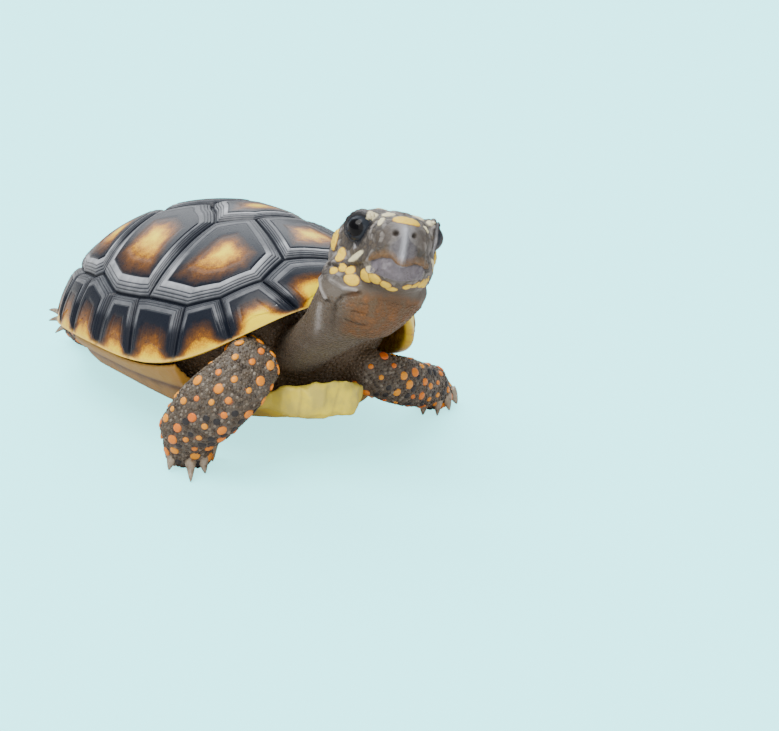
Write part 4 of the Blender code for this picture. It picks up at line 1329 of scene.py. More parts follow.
@dataclass
class Eyes:
    """Two glossy eyeballs with a dark iris and a round pupil."""

    pupil: float = 33.0                 # degrees from the gaze to the pupil's edge
    iris: float = 60.0
    cornea: float = 0.045               # how far it stands out, as a share of the radius

    def build(self, material: Material) -> list[Object]:
        """Build both eyes."""
        return [self.eye(side, material) for side in Side]

    def eye(self, side: Side, material: Material) -> Object:
        """Build one eye with a slightly raised cornea.

        Args:
            side: which eye.
            material: its finish.

        Returns:
            The finished piece.
        """
        ball = bmesh.new()
        bmesh.ops.create_icosphere(ball, subdivisions=5, radius=EYE_RADIUS)
        points = np.array([vert.co for vert in ball.verts])
        faces = [[vert.index for vert in face.verts] for face in ball.faces]
        ball.free()
        off_axis = degrees_from(SOCKETS[side].gaze, unit(points))
        points *= (1 + self.cornea * smoothstep(42.0, 10.0, off_axis))[:, None]
        name = side.name.lower()
        piece = new_object(f"eyeball_{name}", HEAD.to_world(points + SOCKETS[side].place), faces)
        store(piece.data, "pupil", smoothstep(self.pupil + 2, self.pupil - 2, off_axis))
        store(piece.data, "iris", smoothstep(self.iris + 3, self.iris - 3, off_axis))
        return finish_piece(piece, material, [f"eye_{name}"])


@dataclass
class Beak:
    """Horn sheaths of both jaws, lifted from the sculpted skin."""

    lift: float = 0.16
    depth: float = 0.45

    def upper(self, local: np.ndarray) -> np.ndarray:
        """Return the cover of the upper sheath, over 0 where it shows."""
        over = mouth_height(local)
        back = -8.3 + 1.3 * smoothstep(-4.0, -7.5, local[:, 2])
        top = -2.2 + 1.2 * bump(local[:, 0], 0.0, 1.0) - 0.42 * np.abs(local[:, 0])
        return np.minimum(np.minimum(over - 0.02, (back - local[:, 1]) * 0.9), top - local[:, 2])

    def lower(self, local: np.ndarray) -> np.ndarray:
        """Return the cover of the lower sheath, over 0 where it shows."""
        over = mouth_height(local)
        floor = local[:, 2] + 10.5 - 0.11 * np.abs(local[:, 0]) ** 1.4
        return np.minimum(np.minimum(-over - 0.05, -6.9 - local[:, 1]), floor)

    def build(self, skin: Object, material: Material) -> list[Object]:
        """Build both sheaths.

        Args:
            skin: the finished skin.
            material: the sheaths' finish.

        Returns:
            The upper and the lower sheath.
        """
        mesh = skin.data
        points, normals = points_of(mesh), normals_of(mesh)
        faces = np.array([face.vertices[:3] for face in mesh.polygons])
        local = HEAD.to_local(points)
        pieces = []
        for name, cover in (("upper", self.upper(local)), ("lower", self.lower(local))):
            inside = cover > -0.35
            chosen = faces[np.all(inside[faces], axis=1)]
            used, renumbered = np.unique(chosen, return_inverse=True)
            chosen = renumbered.reshape(chosen.shape)
            raised = self.lift * smoothstep(-0.25, 0.35, cover[used]) - 0.06
            top = points[used] + normals[used] * raised[:, None]
            bottom = points[used] - normals[used] * self.depth
            piece = new_object(f"sheath_{name}", np.concatenate((top, bottom)),
                               self.closed(chosen, len(used)))
            store(piece.data, "over", np.tile(mouth_height(local[used]), 2))
            store(piece.data, "across", np.tile(local[used, 0], 2))
            pieces.append(finish_piece(piece, material, [f"beak_{name}"]))
        return pieces

    def closed(self, faces: np.ndarray, count: int) -> list:
        """Return an open patch's faces, the same faces below it and the wall between."""
        edges = np.concatenate((faces[:, :2], faces[:, 1:], faces[:, (2, 0)]))
        known = {tuple(edge) for edge in edges}
        wall = [(b, a, a + count, b + count) for a, b in known if (b, a) not in known]
        return [*faces.tolist(), *(faces[:, ::-1] + count).tolist(), *wall]


@dataclass
class Claws:
    """Blunt curved claws, one joined piece for each foot."""

    rings: int = 9
    sides: int = 14
    radius: float = 1.85
    hind_share: float = 0.72
    root_depth: float = 2.0
    counts: dict = field(default_factory=lambda: {"fore": 5, "hind": 4})

    def claw(self, node: str) -> tuple[np.ndarray, list[tuple]]:
        """Shape one claw from its solid's root and tip.

        Args:
            node: the solid's name.

        Returns:
            Its points and its faces.
        """
        points = points_of(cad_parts[node].data)
        points = np.unique(np.round(points, 4), axis=0)
        foot = np.array(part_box(node.rsplit("_", 1)[0].removeprefix("claw_"))).mean(0) / MM
        tip = points[np.argmax(np.linalg.norm(points - foot, axis=1))]
        length = np.ptp(points @ unit(tip - foot))
        root = points[np.linalg.norm(points - tip, axis=1) > 0.55 * length].mean(0)
        ahead = unit(tip - root)
        root = root - ahead * self.root_depth
        bend = (root + tip) / 2 + np.array((0.0, 0.0, 0.25 * np.linalg.norm(tip - root)))
        rows = []
        radius = self.radius * (self.hind_share if "hind" in node else 1.0)
        for number in range(self.rings):
            t = number / (self.rings - 1) * 0.97
            place = root * (1 - t) ** 2 + bend * 2 * t * (1 - t) + tip * t * t
            way = unit((bend - root) * (1 - t) + (tip - bend) * t)
            side = unit(np.cross(way, (0.0, 0.0, 1.0)))
            rise = np.cross(side, way)
            size = radius * (1 - 0.78 * t) * (1 - t ** 9) ** 0.5
            angle = math.tau * np.arange(self.sides)[:, None] / self.sides
            rows.append(place + size * (0.85 * side * np.cos(angle) + rise * np.sin(angle)))
        count = self.rings * self.sides
        ring = np.arange(self.sides)
        faces = tube(self.rings, self.sides) + fan(ring[::-1], count)
        faces += fan(ring + count - self.sides, count + 1)
        return np.concatenate((*rows, rows[0].mean(0)[None], tip[None])), faces

    def build(self, material: Material) -> list[Object]:
        """Build the claws of all four feet."""
        pieces = []
        for foot in FEET.values():
            nodes = [f"claw_{foot}_{number + 1}" for number in range(self.counts[foot[:4]])]
            points, faces = [], []
            for more, sides in map(self.claw, nodes):
                start = sum(map(len, points))
                points.append(more)
                faces.extend([index + start for index in face] for face in sides)
            together = np.concatenate(points)
            together[:, 2] = np.maximum(together[:, 2], 0.0)
            piece = new_object(f"claws_{foot}", together, faces)
            facing_out(piece)
            pieces.append(finish_piece(piece, material, nodes))
        return pieces


# --- finishes -------------------------------------------------------------------------

Colour = tuple[float, float, float]
Paint = NodeSocket | Colour
Given = NodeSocket | float | str      # a name stands for a mesh's attribute


class Tree:
    """Adds and joins the nodes of one material or node group.

    A string given for a number names an attribute of the mesh.
    """

    def __init__(self, tree: bpy.types.NodeTree) -> None:
        """Start on an empty tree."""
        self.tree = tree
        tree.nodes.clear()

    def add(self, kind: str, inputs: dict | None = None, **settings: object) -> bpy.types.Node:
        """Add a node.

        Args:
            kind: the node's type name.
            inputs: values or sockets for its inputs, by name or number.
            settings: its properties.

        Returns:
            The node.
        """
        node = self.tree.nodes.new(kind)
        for name, value in settings.items():
            setattr(node, name, value)
        for name, value in (inputs or {}).items():
            if isinstance(value, NodeSocket):
                self.tree.links.new(value, node.inputs[name])
            else:
                node.inputs[name].default_value = value
        return node

    def value(self, given: Given) -> NodeSocket | float:
        """Return a number or socket; a name gives the number kept on the mesh."""
        if isinstance(given, str):
            return self.add("ShaderNodeAttribute", attribute_name=given).outputs["Fac"]
        return given

    def math(self, operation: str, *values: Given, clamp: bool = False) -> NodeSocket:
        """Return a calculation with one or two values."""
        inputs = dict(enumerate(map(self.value, values)))
        return self.add("ShaderNodeMath", inputs, operation=operation, use_clamp=clamp).outputs[0]

    def times(self, *values: Given) -> NodeSocket:
        """Return the product of some values."""
        return reduce(lambda first, second: self.math("MULTIPLY", first, second), values)

    def texture(self, scale: Given, detail: float, rough: float) -> NodeSocket:
        """Return noise with so many patches to a metre."""
        place = self.add("ShaderNodeTexCoord").outputs["Object"]
        return self.add("ShaderNodeTexNoise", {"Vector": place, "Scale": scale, "Detail": detail,
                                               "Roughness": rough}).outputs["Fac"]

    def noise(self, size: float, detail: float) -> NodeSocket:
        """Return noise whose patches are about so many millimetres wide."""
        return self.texture(1 / (size * MM), detail, 0.55)

    def ramp(self, value: Given, *stops: tuple[float, Colour]) -> NodeSocket:
        """Return a colour read from stops of (place, colour)."""
        node = self.add("ShaderNodeValToRGB", {"Fac": self.value(value)})
        elements = node.color_ramp.elements
        while len(elements) < len(stops):
            elements.new(1.0)
        for element, (place, colour) in zip(elements, stops):
            element.position = place
            element.color = (*colour, 1.0)
        return node.outputs["Color"]

    def mask(self, value: Given, *stops: tuple[float, float]) -> NodeSocket:
        """Return a grey read from stops of (place, brightness)."""
        return self.ramp(value, *((place, (level,) * 3) for place, level in stops))

    def mix(self, factor: Given, *colours: Paint) -> NodeSocket:
        """Return a mix of two colours, each a socket or a plain colour."""
        first, second = [(*c, 1.0) if isinstance(c, tuple) else c for c in colours]
        return self.add("ShaderNodeMix", {0: self.value(factor), 6: first, 7: second},
                        data_type="RGBA").outputs[2]

    def layers(self, colour: Paint, *rows: tuple) -> NodeSocket:
        """Lay colours over one another.

        Args:
            colour: the lowest one.
            rows: mask, strength and colour of each layer, from the lowest up.

        Returns:
            The colour that shows.
        """
        for mask, strength, top in rows:
            colour = self.mix(self.times(mask, strength), colour, top)
        return colour

    def relief(self, height: NodeSocket, depth: float) -> NodeSocket:
        """Return the normal of a bump so many millimetres deep."""
        return self.add("ShaderNodeBump", {"Height": height, "Distance": depth * MM,
                                           "Strength": 1.0}).outputs["Normal"]

    def principled(self, colour: Paint, roughness: Given, normal: NodeSocket,
                   **fixed: Given) -> None:
        """End a material with its shader.

        Args:
            colour: base colour.
            roughness: socket or number.
            normal: normal socket.
            fixed: other inputs of the shader, with _ for each space in their names.
        """
        inputs = {"Base Color": colour, "Roughness": roughness, "Normal": normal}
        inputs.update((name.replace("_", " "), value) for name, value in fixed.items())
        shader = self.add("ShaderNodeBsdfPrincipled", inputs)
        self.add("ShaderNodeOutputMaterial", {"Surface": shader.outputs[0]})

    def horn(self, colour: Paint, roughness: tuple[float, float], grain: tuple[float, float],
             depth: float, **fixed: float) -> None:
        """End a material with fine grain and its shader.

        Args:
            colour: base colour.
            roughness: of the material, and what the grain adds to it.
            grain: width of the grain in millimetres, and how strong its pits are.
            depth: of the grain in millimetres.
            fixed: other inputs of the shader, with _ for each space in their names.
        """
        fine = grained(self, *grain)
        rough, more = roughness
        if more:
            rough = self.math("ADD", rough, self.times(fine, more))
        self.principled(colour, rough, self.relief(fine, depth), **fixed)


def new_group(name: str, inputs: dict[str, float]) -> tuple[Tree, dict]:
    """Start a shader node group with named inputs.

    Args:
        name: the group's name.
        inputs: default value of each input.

    Returns:
        The group's tree and the sockets of its inputs.
    """
    group = bpy.data.node_groups.new(name, "ShaderNodeTree")
    for key, value in inputs.items():
        socket = group.interface.new_socket(key, in_out="INPUT", socket_type="NodeSocketFloat")
        socket.default_value = value
    tree = Tree(group)
    return tree, tree.add("NodeGroupInput").outputs


def end_group(tree: Tree, name: str, value: NodeSocket) -> bpy.types.ShaderNodeTree:
    """Give a group its named output and return it."""
    tree.tree.interface.new_socket(name, in_out="OUTPUT", socket_type="NodeSocketFloat")
    tree.add("NodeGroupOutput", {name: value})
    return tree.tree


def speckle_group() -> bpy.types.ShaderNodeTree:
    """Fine pigment grains that break up the edge of a marking."""
    tree, given = new_group("pigment_speckle", {"Mark": 0.0, "Size": 0.35, "Spread": 0.25})
    mark, scale = given["Mark"], tree.math("DIVIDE", 1 / MM, given["Size"])
    fine = tree.times(tree.texture(scale, 3.0, 0.7), 1.1)
    broad = tree.times(tree.texture(tree.times(scale, 0.16), 2.0, 0.5), 0.9)
    shift = tree.math("SUBTRACT", tree.math("ADD", fine, broad), 1.0)
    edge = tree.times(mark, tree.math("SUBTRACT", 1.0, mark), 4.0, given["Spread"], 2.0)
    return end_group(tree, "Mark", tree.math("ADD", mark, tree.times(shift, edge), clamp=True))


def grain_group() -> bpy.types.ShaderNodeTree:
    """Small pits and scratches of horn and skin, as a height."""
    tree, given = new_group("fine_grain", {"Size": 0.3, "Pits": 0.5})
    scale = tree.math("DIVIDE", 1 / MM, given["Size"])
    place = tree.add("ShaderNodeTexCoord").outputs["Object"]
    cell = tree.add("ShaderNodeTexVoronoi", {"Vector": place, "Scale": scale})
    pit = tree.times(cell.outputs["Distance"], given["Pits"])
    return end_group(tree, "Height", tree.math("SUBTRACT", tree.texture(scale, 4.0, 0.6), pit))


SPECKLE = speckle_group()
GRAIN = grain_group()


def speckled(tree: Tree, mark: str, size: float, spread: float) -> NodeSocket:
    """Place the pigment group in a material and return the broken marking."""
    return tree.add("ShaderNodeGroup", {"Mark": tree.value(mark), "Size": size, "Spread": spread},
                    node_tree=SPECKLE).outputs[0]


def grained(tree: Tree, size: float, pits: float) -> NodeSocket:
    """Place the grain group in a material and return its height."""
    return tree.add("ShaderNodeGroup", {"Size": size, "Pits": pits}, node_tree=GRAIN).outputs[0]


def new_material(name: str) -> tuple[Material, Tree]:
    """Return a new material and its empty tree."""
    material = bpy.data.materials.new(name)
    material.use_nodes = True
    return material, Tree(material.node_tree)


@dataclass(frozen=True)
class ScuteHorn:
    """Slate-black horn with golden middles, for the carapace."""

    slate: Colour = (0.009, 0.012, 0.020)
    # pale grey of the growth-ring crowns: wear and painted sheen
    wear_and_sheen: Colour = (0.42, 0.44, 0.475)
    brown: Colour = (0.080, 0.036, 0.016)
    rust: Colour = (0.23, 0.085, 0.013)
    gold: Colour = (0.66, 0.31, 0.004)
    yellow: Colour = (1.0, 0.76, 0.004)
    cream: Colour = (0.90, 0.62, 0.16)
    roughness: float = 0.26

    def material(self) -> Material:
        """Build the material."""
        material, tree = new_material("scute_horn")
        mark = speckled(tree, "gold", 0.30, 0.26)
        colour = tree.ramp(mark, (0.0, self.slate), (0.08, self.slate), (0.30, self.brown),
                           (0.50, self.rust), (0.70, self.gold), (0.92, self.yellow))
        # The crowns of the growth rings are painted pale grey, partly as wear and partly as painted
        # sheen.
        crown_patches = tree.mask(tree.noise(3.0, 3.0), (0.25, 0.45), (0.65, 1.0))
        colour = tree.layers(colour, (tree.times(crown_patches, 0.9), "crown", self.wear_and_sheen),
                             (tree.math("POWER", "lip", 5.0), 0.55, self.cream))
        tree.horn(colour, (self.roughness, 0.14), (0.35, 0.4), 0.04, Specular_IOR_Level=0.17,
                  Coat_Weight=0.09, Coat_Roughness=0.07)
        return material


@dataclass(frozen=True)
class PlastronHorn:
    """Tan and yellow horn with brown clouds and pale seams."""

    tan: Colour = (0.215, 0.140, 0.052)
    amber: Colour = (0.36, 0.180, 0.016)
    band: Colour = (0.36, 0.215, 0.038)
    yellow: Colour = (1.0, 0.82, 0.050)
    brown: Colour = (0.075, 0.036, 0.014)
    grey: Colour = (0.26, 0.235, 0.15)
    seam: Colour = (0.24, 0.17, 0.10)
    roughness: float = 0.42

    def material(self) -> Material:
        """Build the material."""
        material, tree = new_material("plastron_horn")
        cloud = tree.noise(6.0, 4.0)
        front = tree.math("SUBTRACT", 1.0, tree.times("along", 4.5), clamp=True)
        middle = tree.mask(tree.math("DIVIDE", "side", 26.0), (0.0, 1.0), (0.25, 0.55), (0.6, 0.12))
        blotch = tree.mask(tree.noise(4.0, 4.0), (0.40, 0.0), (0.62, 1.0))
        behind = tree.math("SUBTRACT", 0.85, front, clamp=True)
        broken = tree.math("ADD", 0.35, cloud, clamp=True)
        # The band under the rim is partly painted shade, and the crease along the bridge (fold) is
        # painted brown as shade.
        colour = tree.layers(
            tree.ramp(cloud, (0.35, self.amber), (0.65, self.tan)),
            (front, 1.0, self.yellow), (tree.times(middle, blotch), behind, self.brown),
            (tree.times(blotch, front), 0.45, self.grey), ("band", broken, self.band),
            ("amber", 0.8, self.amber), ("fold", 0.85, self.brown), ("seam", 0.6, self.seam))
        tree.horn(colour, (self.roughness, 0.15), (0.4, 0.3), 0.05, Specular_IOR_Level=0.5)
        return material


@dataclass(frozen=True)
class Hide:
    """Grey scaly hide of the head, neck and legs."""

    grey: Colour = (0.108, 0.093, 0.075)
    dark: Colour = (0.018, 0.018, 0.021)
    shade: Colour = (0.026, 0.018, 0.011)
    # earth: the throat's stain, and the painted shade of the hollows by the trunk
    earth: Colour = (0.120, 0.076, 0.038)
    brown: Colour = (0.080, 0.057, 0.036)
    rust: Colour = (0.34, 0.15, 0.022)
    throat: Colour = (0.125, 0.060, 0.020)
    ember: Colour = (0.19, 0.080, 0.020)
    # horn: the snout's pale tone, partly a painted highlight on its ridge
    horn: Colour = (0.38, 0.39, 0.43)
    # rim: lighter head scales, and the painted highlight on the fold ridges
    rim: Colour = (0.46, 0.44, 0.43)
    # pale: the painted highlight on the lid margins
    pale: Colour = (0.58, 0.57, 0.60)
    orange: Colour = (0.78, 0.155, 0.006)
    yellow: Colour = (0.90, 0.60, 0.035)
    cream: Colour = (0.80, 0.73, 0.46)
    roughness: float = 0.48

    def with_stains_and_painted_light(self, tree: Tree, colour: NodeSocket) -> NodeSocket:
        """Return a colour with the throat's stain, the painted shade of the hollows by the trunk
        and of the creases, mouth and nostrils, and the painted highlights on the fold ridges, which
        the skin and its coat share.
        """
        warm = tree.ramp(tree.noise(1.6, 4.0), (0.34, self.earth), (0.50, self.throat),
                         (0.70, self.ember))
        broken = tree.math("ADD", 0.25, tree.noise(0.9, 3.0), clamp=True)
        # hollow and crease are painted shade, ridge is a painted highlight along the folds.
        return tree.layers(colour, ("throat", 1.0, warm), ("hollow", 0.75, self.earth),
                           ("ridge", broken, self.rim), ("crease", 0.85, self.shade))

    def material(self) -> Material:
        """Build the material."""
        material, tree = new_material("hide")
        cloud = tree.mask(tree.noise(5.0, 4.0), (0.35, 0.0), (0.75, 1.0))
        patch = tree.ramp("yellow", (0.2, self.rust), (0.75, self.yellow))
        # snout lays a pale grey that is partly the snout's own tone and partly a painted highlight
        # along its ridge; lid_edge is a painted highlight on the lid margins.
        colour = tree.layers(
            self.with_stains_and_painted_light(tree, tree.mix(cloud, self.grey, self.brown)),
            ("tint", 0.9, self.rim), ("tint", -1.1, self.dark), ("groove", 0.55, self.dark),
            ("snout", 0.7, self.horn), ("lid", 1.0, self.dark), ("lid_edge", 0.7, self.pale),
            ("orange", 1.0, self.orange), ("black", 1.0, self.dark), ("cream", 1.0, self.cream),
            ("yellow", 3.0, patch))
        tree.horn(colour, (self.roughness, 0.12), (0.28, 0.8), 0.10, Specular_IOR_Level=0.5)
        return material


@dataclass(frozen=True)
class LegScales:
    """Orange, black and grey-brown scales, in the colours of the hide beneath."""

    hide: Hide = Hide()
    amber: Colour = (0.88, 0.345, 0.010)
    black: Colour = (0.016, 0.015, 0.017)
    shadow: Colour = (0.040, 0.029, 0.020)
    middle: Colour = (0.108, 0.084, 0.058)
    pale: Colour = (0.235, 0.20, 0.16)
    roughness: float = 0.30

    def material(self) -> Material:
        """Build the material."""
        material, tree = new_material("leg_scales")
        plain = tree.ramp("shade", (0.0, self.shadow), (0.30, self.hide.brown),
                          (0.65, self.middle), (1.0, self.pale))
        warm = tree.mix("shade", self.hide.orange, self.amber)
        colour = tree.layers(self.hide.with_stains_and_painted_light(tree, plain),
                             (speckled(tree, "orange", 0.5, 0.3), 1.0, warm),
                             ("black", 1.0, self.black))
        tree.horn(colour, (self.roughness, 0.15), (0.25, 0.3), 0.04, Specular_IOR_Level=0.45)
        return material


@dataclass(frozen=True)
class SheathHorn:
    """Grey-purple horn of the beak with a brown-orange cutting edge."""

    grey: Colour = (0.125, 0.120, 0.135)
    purple: Colour = (0.205, 0.185, 0.215)
    olive: Colour = (0.068, 0.060, 0.045)
    brown: Colour = (0.105, 0.072, 0.036)
    # pale: the painted highlight along the upper sheath's ridge
    pale: Colour = (0.50, 0.52, 0.57)
    edge: Colour = (0.27, 0.135, 0.035)
    roughness: float = 0.30

    def material(self) -> Material:
        """Build the material."""
        material, tree = new_material("sheath_horn")
        cutting = tree.mask(tree.math("DIVIDE", "over", 3.0), (0.0, 0.0), (0.02, 1.0),
                            (0.28, 0.7), (0.6, 0.0))
        side = tree.math("ABSOLUTE", "across")
        # A pale painted highlight along the middle ridge of the upper sheath.
        ridge = tree.math("SUBTRACT", 1.0, tree.math("DIVIDE", side, 0.95), clamp=True)
        above = tree.math("MULTIPLY", "over", 2.0, clamp=True)
        outer = tree.mask(tree.math("DIVIDE", side, 6.0), (0.34, 0.0), (0.52, 1.0))
        mottle = tree.ramp(tree.noise(1.1, 4.0), (0.46, self.olive), (0.62, self.brown))
        upper = tree.layers(self.grey, (outer, 0.85, mottle))
        colour = tree.layers(tree.mix(above, self.purple, upper), (ridge, above, self.pale),
                             (cutting, 0.85, self.edge))
        tree.horn(colour, (self.roughness, 0.0), (0.3, 0.3), 0.04, Specular_IOR_Level=0.55)
        return material


@dataclass(frozen=True)
class Eyeball:
    """Wet dark eye."""

    white: Colour = (0.10, 0.085, 0.075)
    iris: Colour = (0.022, 0.027, 0.036)
    fleck: Colour = (0.04, 0.045, 0.055)
    pupil: Colour = (0.002, 0.002, 0.003)
    roughness: float = 0.22

    def material(self) -> Material:
        """Build the material."""
        material, tree = new_material("eyeball")
        grains = tree.noise(0.5, 3.0)
        colour = tree.layers(self.white, ("iris", 1.0, self.iris), (grains, 0.2, self.fleck),
                             ("pupil", 1.0, self.pupil))
        tree.principled(colour, self.roughness, tree.relief(grains, 0.01), Specular_IOR_Level=0.08,
                        Coat_Weight=0.20, Coat_Roughness=0.03)
        return material


@dataclass(frozen=True)
class ClawHorn:
    """Pale grey-brown horn of the claws."""

    pale: Colour = (0.40, 0.33, 0.245)
    dark: Colour = (0.15, 0.115, 0.08)
    roughness: float = 0.38

    def material(self) -> Material:
        """Build the material."""
        material, tree = new_material("claw_horn")
        cloud = tree.mask(tree.noise(1.4, 3.0), (0.4, 0.0), (0.7, 1.0))
        colour = tree.mix(cloud, self.pale, self.dark)
        tree.horn(colour, (self.roughness, 0.0), (0.25, 0.2), 0.03, Specular_IOR_Level=0.5)
        return material


# --- coat ---------------------------------------------------------------------------

# throat is a stain; hollow and crease are painted shade, ridge is a painted highlight.
STAINS_AND_PAINTED_LIGHT = ("throat", "hollow", "ridge", "crease")


@dataclass
class Roots:
    """Places on the skin where scales grow, one row each."""

    points: np.ndarray
    normals: np.ndarray

    def chosen(self, keep: np.ndarray) -> "Roots":
        """Return the rows that are kept."""
        return Roots(self.points[keep], self.normals[keep])

    def with_more(self, more: "Roots") -> "Roots":
        """Return these rows and then the others."""
        return Roots(np.concatenate((self.points, more.points)),
                     np.concatenate((self.normals, more.normals)))


class Surface:
    """The finished skin, as a surface on which scales are scattered."""

    def __init__(self, skin: Object, parts: np.ndarray) -> None:
        """Read the skin once.

        Args:
            skin: the skin's object.
            parts: for each vertex, the name of the solid that it covers.
        """
        mesh = skin.data
        mesh.calc_loop_triangles()
        self.faces = numbers_of(mesh.loop_triangles, "vertices", 3, np.int32)
        self.points = points_of(mesh)
        self.normals = normals_of(mesh)
        self.parts = parts
        self.masks = {name: read(mesh, name) for name in STAINS_AND_PAINTED_LIGHT}
        corners = self.points[self.faces]
        across = np.cross(corners[:, 1] - corners[:, 0], corners[:, 2] - corners[:, 0])
        self.areas = np.linalg.norm(across, axis=1) / 2

    def scatter(self, nodes: Sequence[str], spacing: float, seed: int,
                where: Callable[[Roots], np.ndarray] | None = None) -> Roots:
        """Return roots spread evenly, none nearer to another than the spacing.

        Args:
            nodes: solids on whose skin the roots lie.
            spacing: least distance between two roots in millimetres.
            seed: seed of the random draw.
            where: keeps the candidates for which it returns true.

        Returns:
            The roots.
        """
        rng = np.random.default_rng(seed)
        faces = np.flatnonzero(np.isin(self.parts[self.faces[:, 0]], nodes))
        areas = self.areas[faces]
        count = int(areas.sum() / spacing ** 2 * 7)
        picked = faces[rng.choice(len(faces), count, p=areas / areas.sum())]
        one, two = rng.random((2, count, 1))
        flip = one + two > 1
        one, two = np.where(flip, 1 - one, one), np.where(flip, 1 - two, two)
        weights = np.concatenate((1 - one - two, one, two), 1)[:, :, None]
        rows = self.faces[picked]
        found = Roots((self.points[rows] * weights).sum(1),
                      unit((self.normals[rows] * weights).sum(1)))
        if where is not None:
            found = found.chosen(where(found))
        return found.chosen(spread_out(found.points, spacing))


def spread_out(points: np.ndarray, spacing: float) -> np.ndarray:
    """Choose points so that no two are nearer than a spacing.

    Args:
        points: the candidates, of which the first ones are kept.
        spacing: least distance between two of them.

    Returns:
        The numbers of those that are kept.
    """
    cells: dict[tuple, list[tuple]] = {}
    kept = []
    steps = list(product((-1, 0, 1), repeat=3))
    keys = np.floor(points / spacing).astype(int).tolist()
    for number, (place, (kx, ky, kz)) in enumerate(zip(points.tolist(), keys)):
        x, y, z = place
        if all((x - other[0]) ** 2 + (y - other[1]) ** 2 + (z - other[2]) ** 2 >= spacing ** 2
               for dx, dy, dz in steps for other in cells.get((kx + dx, ky + dy, kz + dz), ())):
            cells.setdefault((kx, ky, kz), []).append(place)
            kept.append(number)
    return np.array(kept, dtype=int)


def distance_to(points: np.ndarray, others: np.ndarray) -> tuple[np.ndarray, np.ndarray]:
    """Find the nearest of some other points.

    Args:
        points: where to look from.
        others: where to look.

    Returns:
        The distance to the nearest of the others, and its number.
    """
    tree = KDTree(len(others))
    for number, other in enumerate(others):
        tree.insert(Vector(other), number)
    tree.balance()
    hits = [tree.find(Vector(point)) for point in points]
    return np.array([hit[2] for hit in hits]), np.array([hit[1] for hit in hits])


def scale_form(name: str, sides: int, profile: Sequence[tuple]) -> Object:
    """Return a closed low dome of radius 1 and height 1, as the form of a scale.

    Args:
        name: name of the form.
        sides: number of sides of its outline.
        profile: radius and height of each ring, from the skin up.

    Returns:
        An object that is removed once its copies are made.
    """
    angles = math.tau * np.arange(sides) / sides
    rows = [np.stack((radius * np.cos(angles), radius * np.sin(angles),
                      np.full(sides, height)), 1) for radius, height in profile]
    points = np.concatenate((*rows, ((0.0, 0.0, 1.0),)))
    ring = np.arange(sides)
    faces = [*tube(len(rows), sides), ring[::-1]]
    faces += fan(ring + (len(rows) - 1) * sides, len(points) - 1)
    return new_object(name, points / MM, faces)


def laying_tree() -> bpy.types.GeometryNodeTree:
    """Build the tree that lays a form on every root, turned and sized by its attributes."""
    tree = bpy.data.node_groups.new("lay_scales", "GeometryNodeTree")
    kinds = {"Roots": "Geometry", "Form": "Object", "Length": "Float", "Height": "Float",
             "Finish": "Material"}
    for name, kind in kinds.items():
        socket = tree.interface.new_socket(name, in_out="INPUT", socket_type=f"NodeSocket{kind}")
        if kind == "Float":
            socket.default_value = 1.0
    tree.interface.new_socket("Scales", in_out="OUTPUT", socket_type="NodeSocketGeometry")
    nodes = Tree(tree)
    given = nodes.add("NodeGroupInput").outputs

    out, along, size = [nodes.add("GeometryNodeInputNamedAttribute", {"Name": name},
                                  data_type="FLOAT_VECTOR").outputs["Attribute"]
                        for name in ("out", "along", "size")]
    turn = nodes.add("FunctionNodeAxesToRotation", {"Primary Axis": out, "Secondary Axis": along},
                     primary_axis="Z", secondary_axis="Y")
    whole = nodes.add("ShaderNodeCombineXYZ", {"X": 1.0, "Y": given["Length"],
                                               "Z": given["Height"]})
    sized = nodes.add("ShaderNodeVectorMath", {0: size, 1: whole.outputs[0]}, operation="MULTIPLY")
    form = nodes.add("GeometryNodeObjectInfo", {"Object": given["Form"]})
    laid = nodes.add("GeometryNodeInstanceOnPoints", {
        "Points": given["Roots"], "Instance": form.outputs["Geometry"],
        "Rotation": turn.outputs[0], "Scale": sized.outputs[0]})
    real = nodes.add("GeometryNodeRealizeInstances", {"Geometry": laid.outputs[0]})
    dressed = nodes.add("GeometryNodeSetMaterial", {"Geometry": real.outputs[0],
                                                    "Material": given["Finish"]})
    nodes.add("NodeGroupOutput", {"Scales": dressed.outputs[0]})
    return tree


PATCH = 0.0015                      # half the width of a scale's place in the coat's map


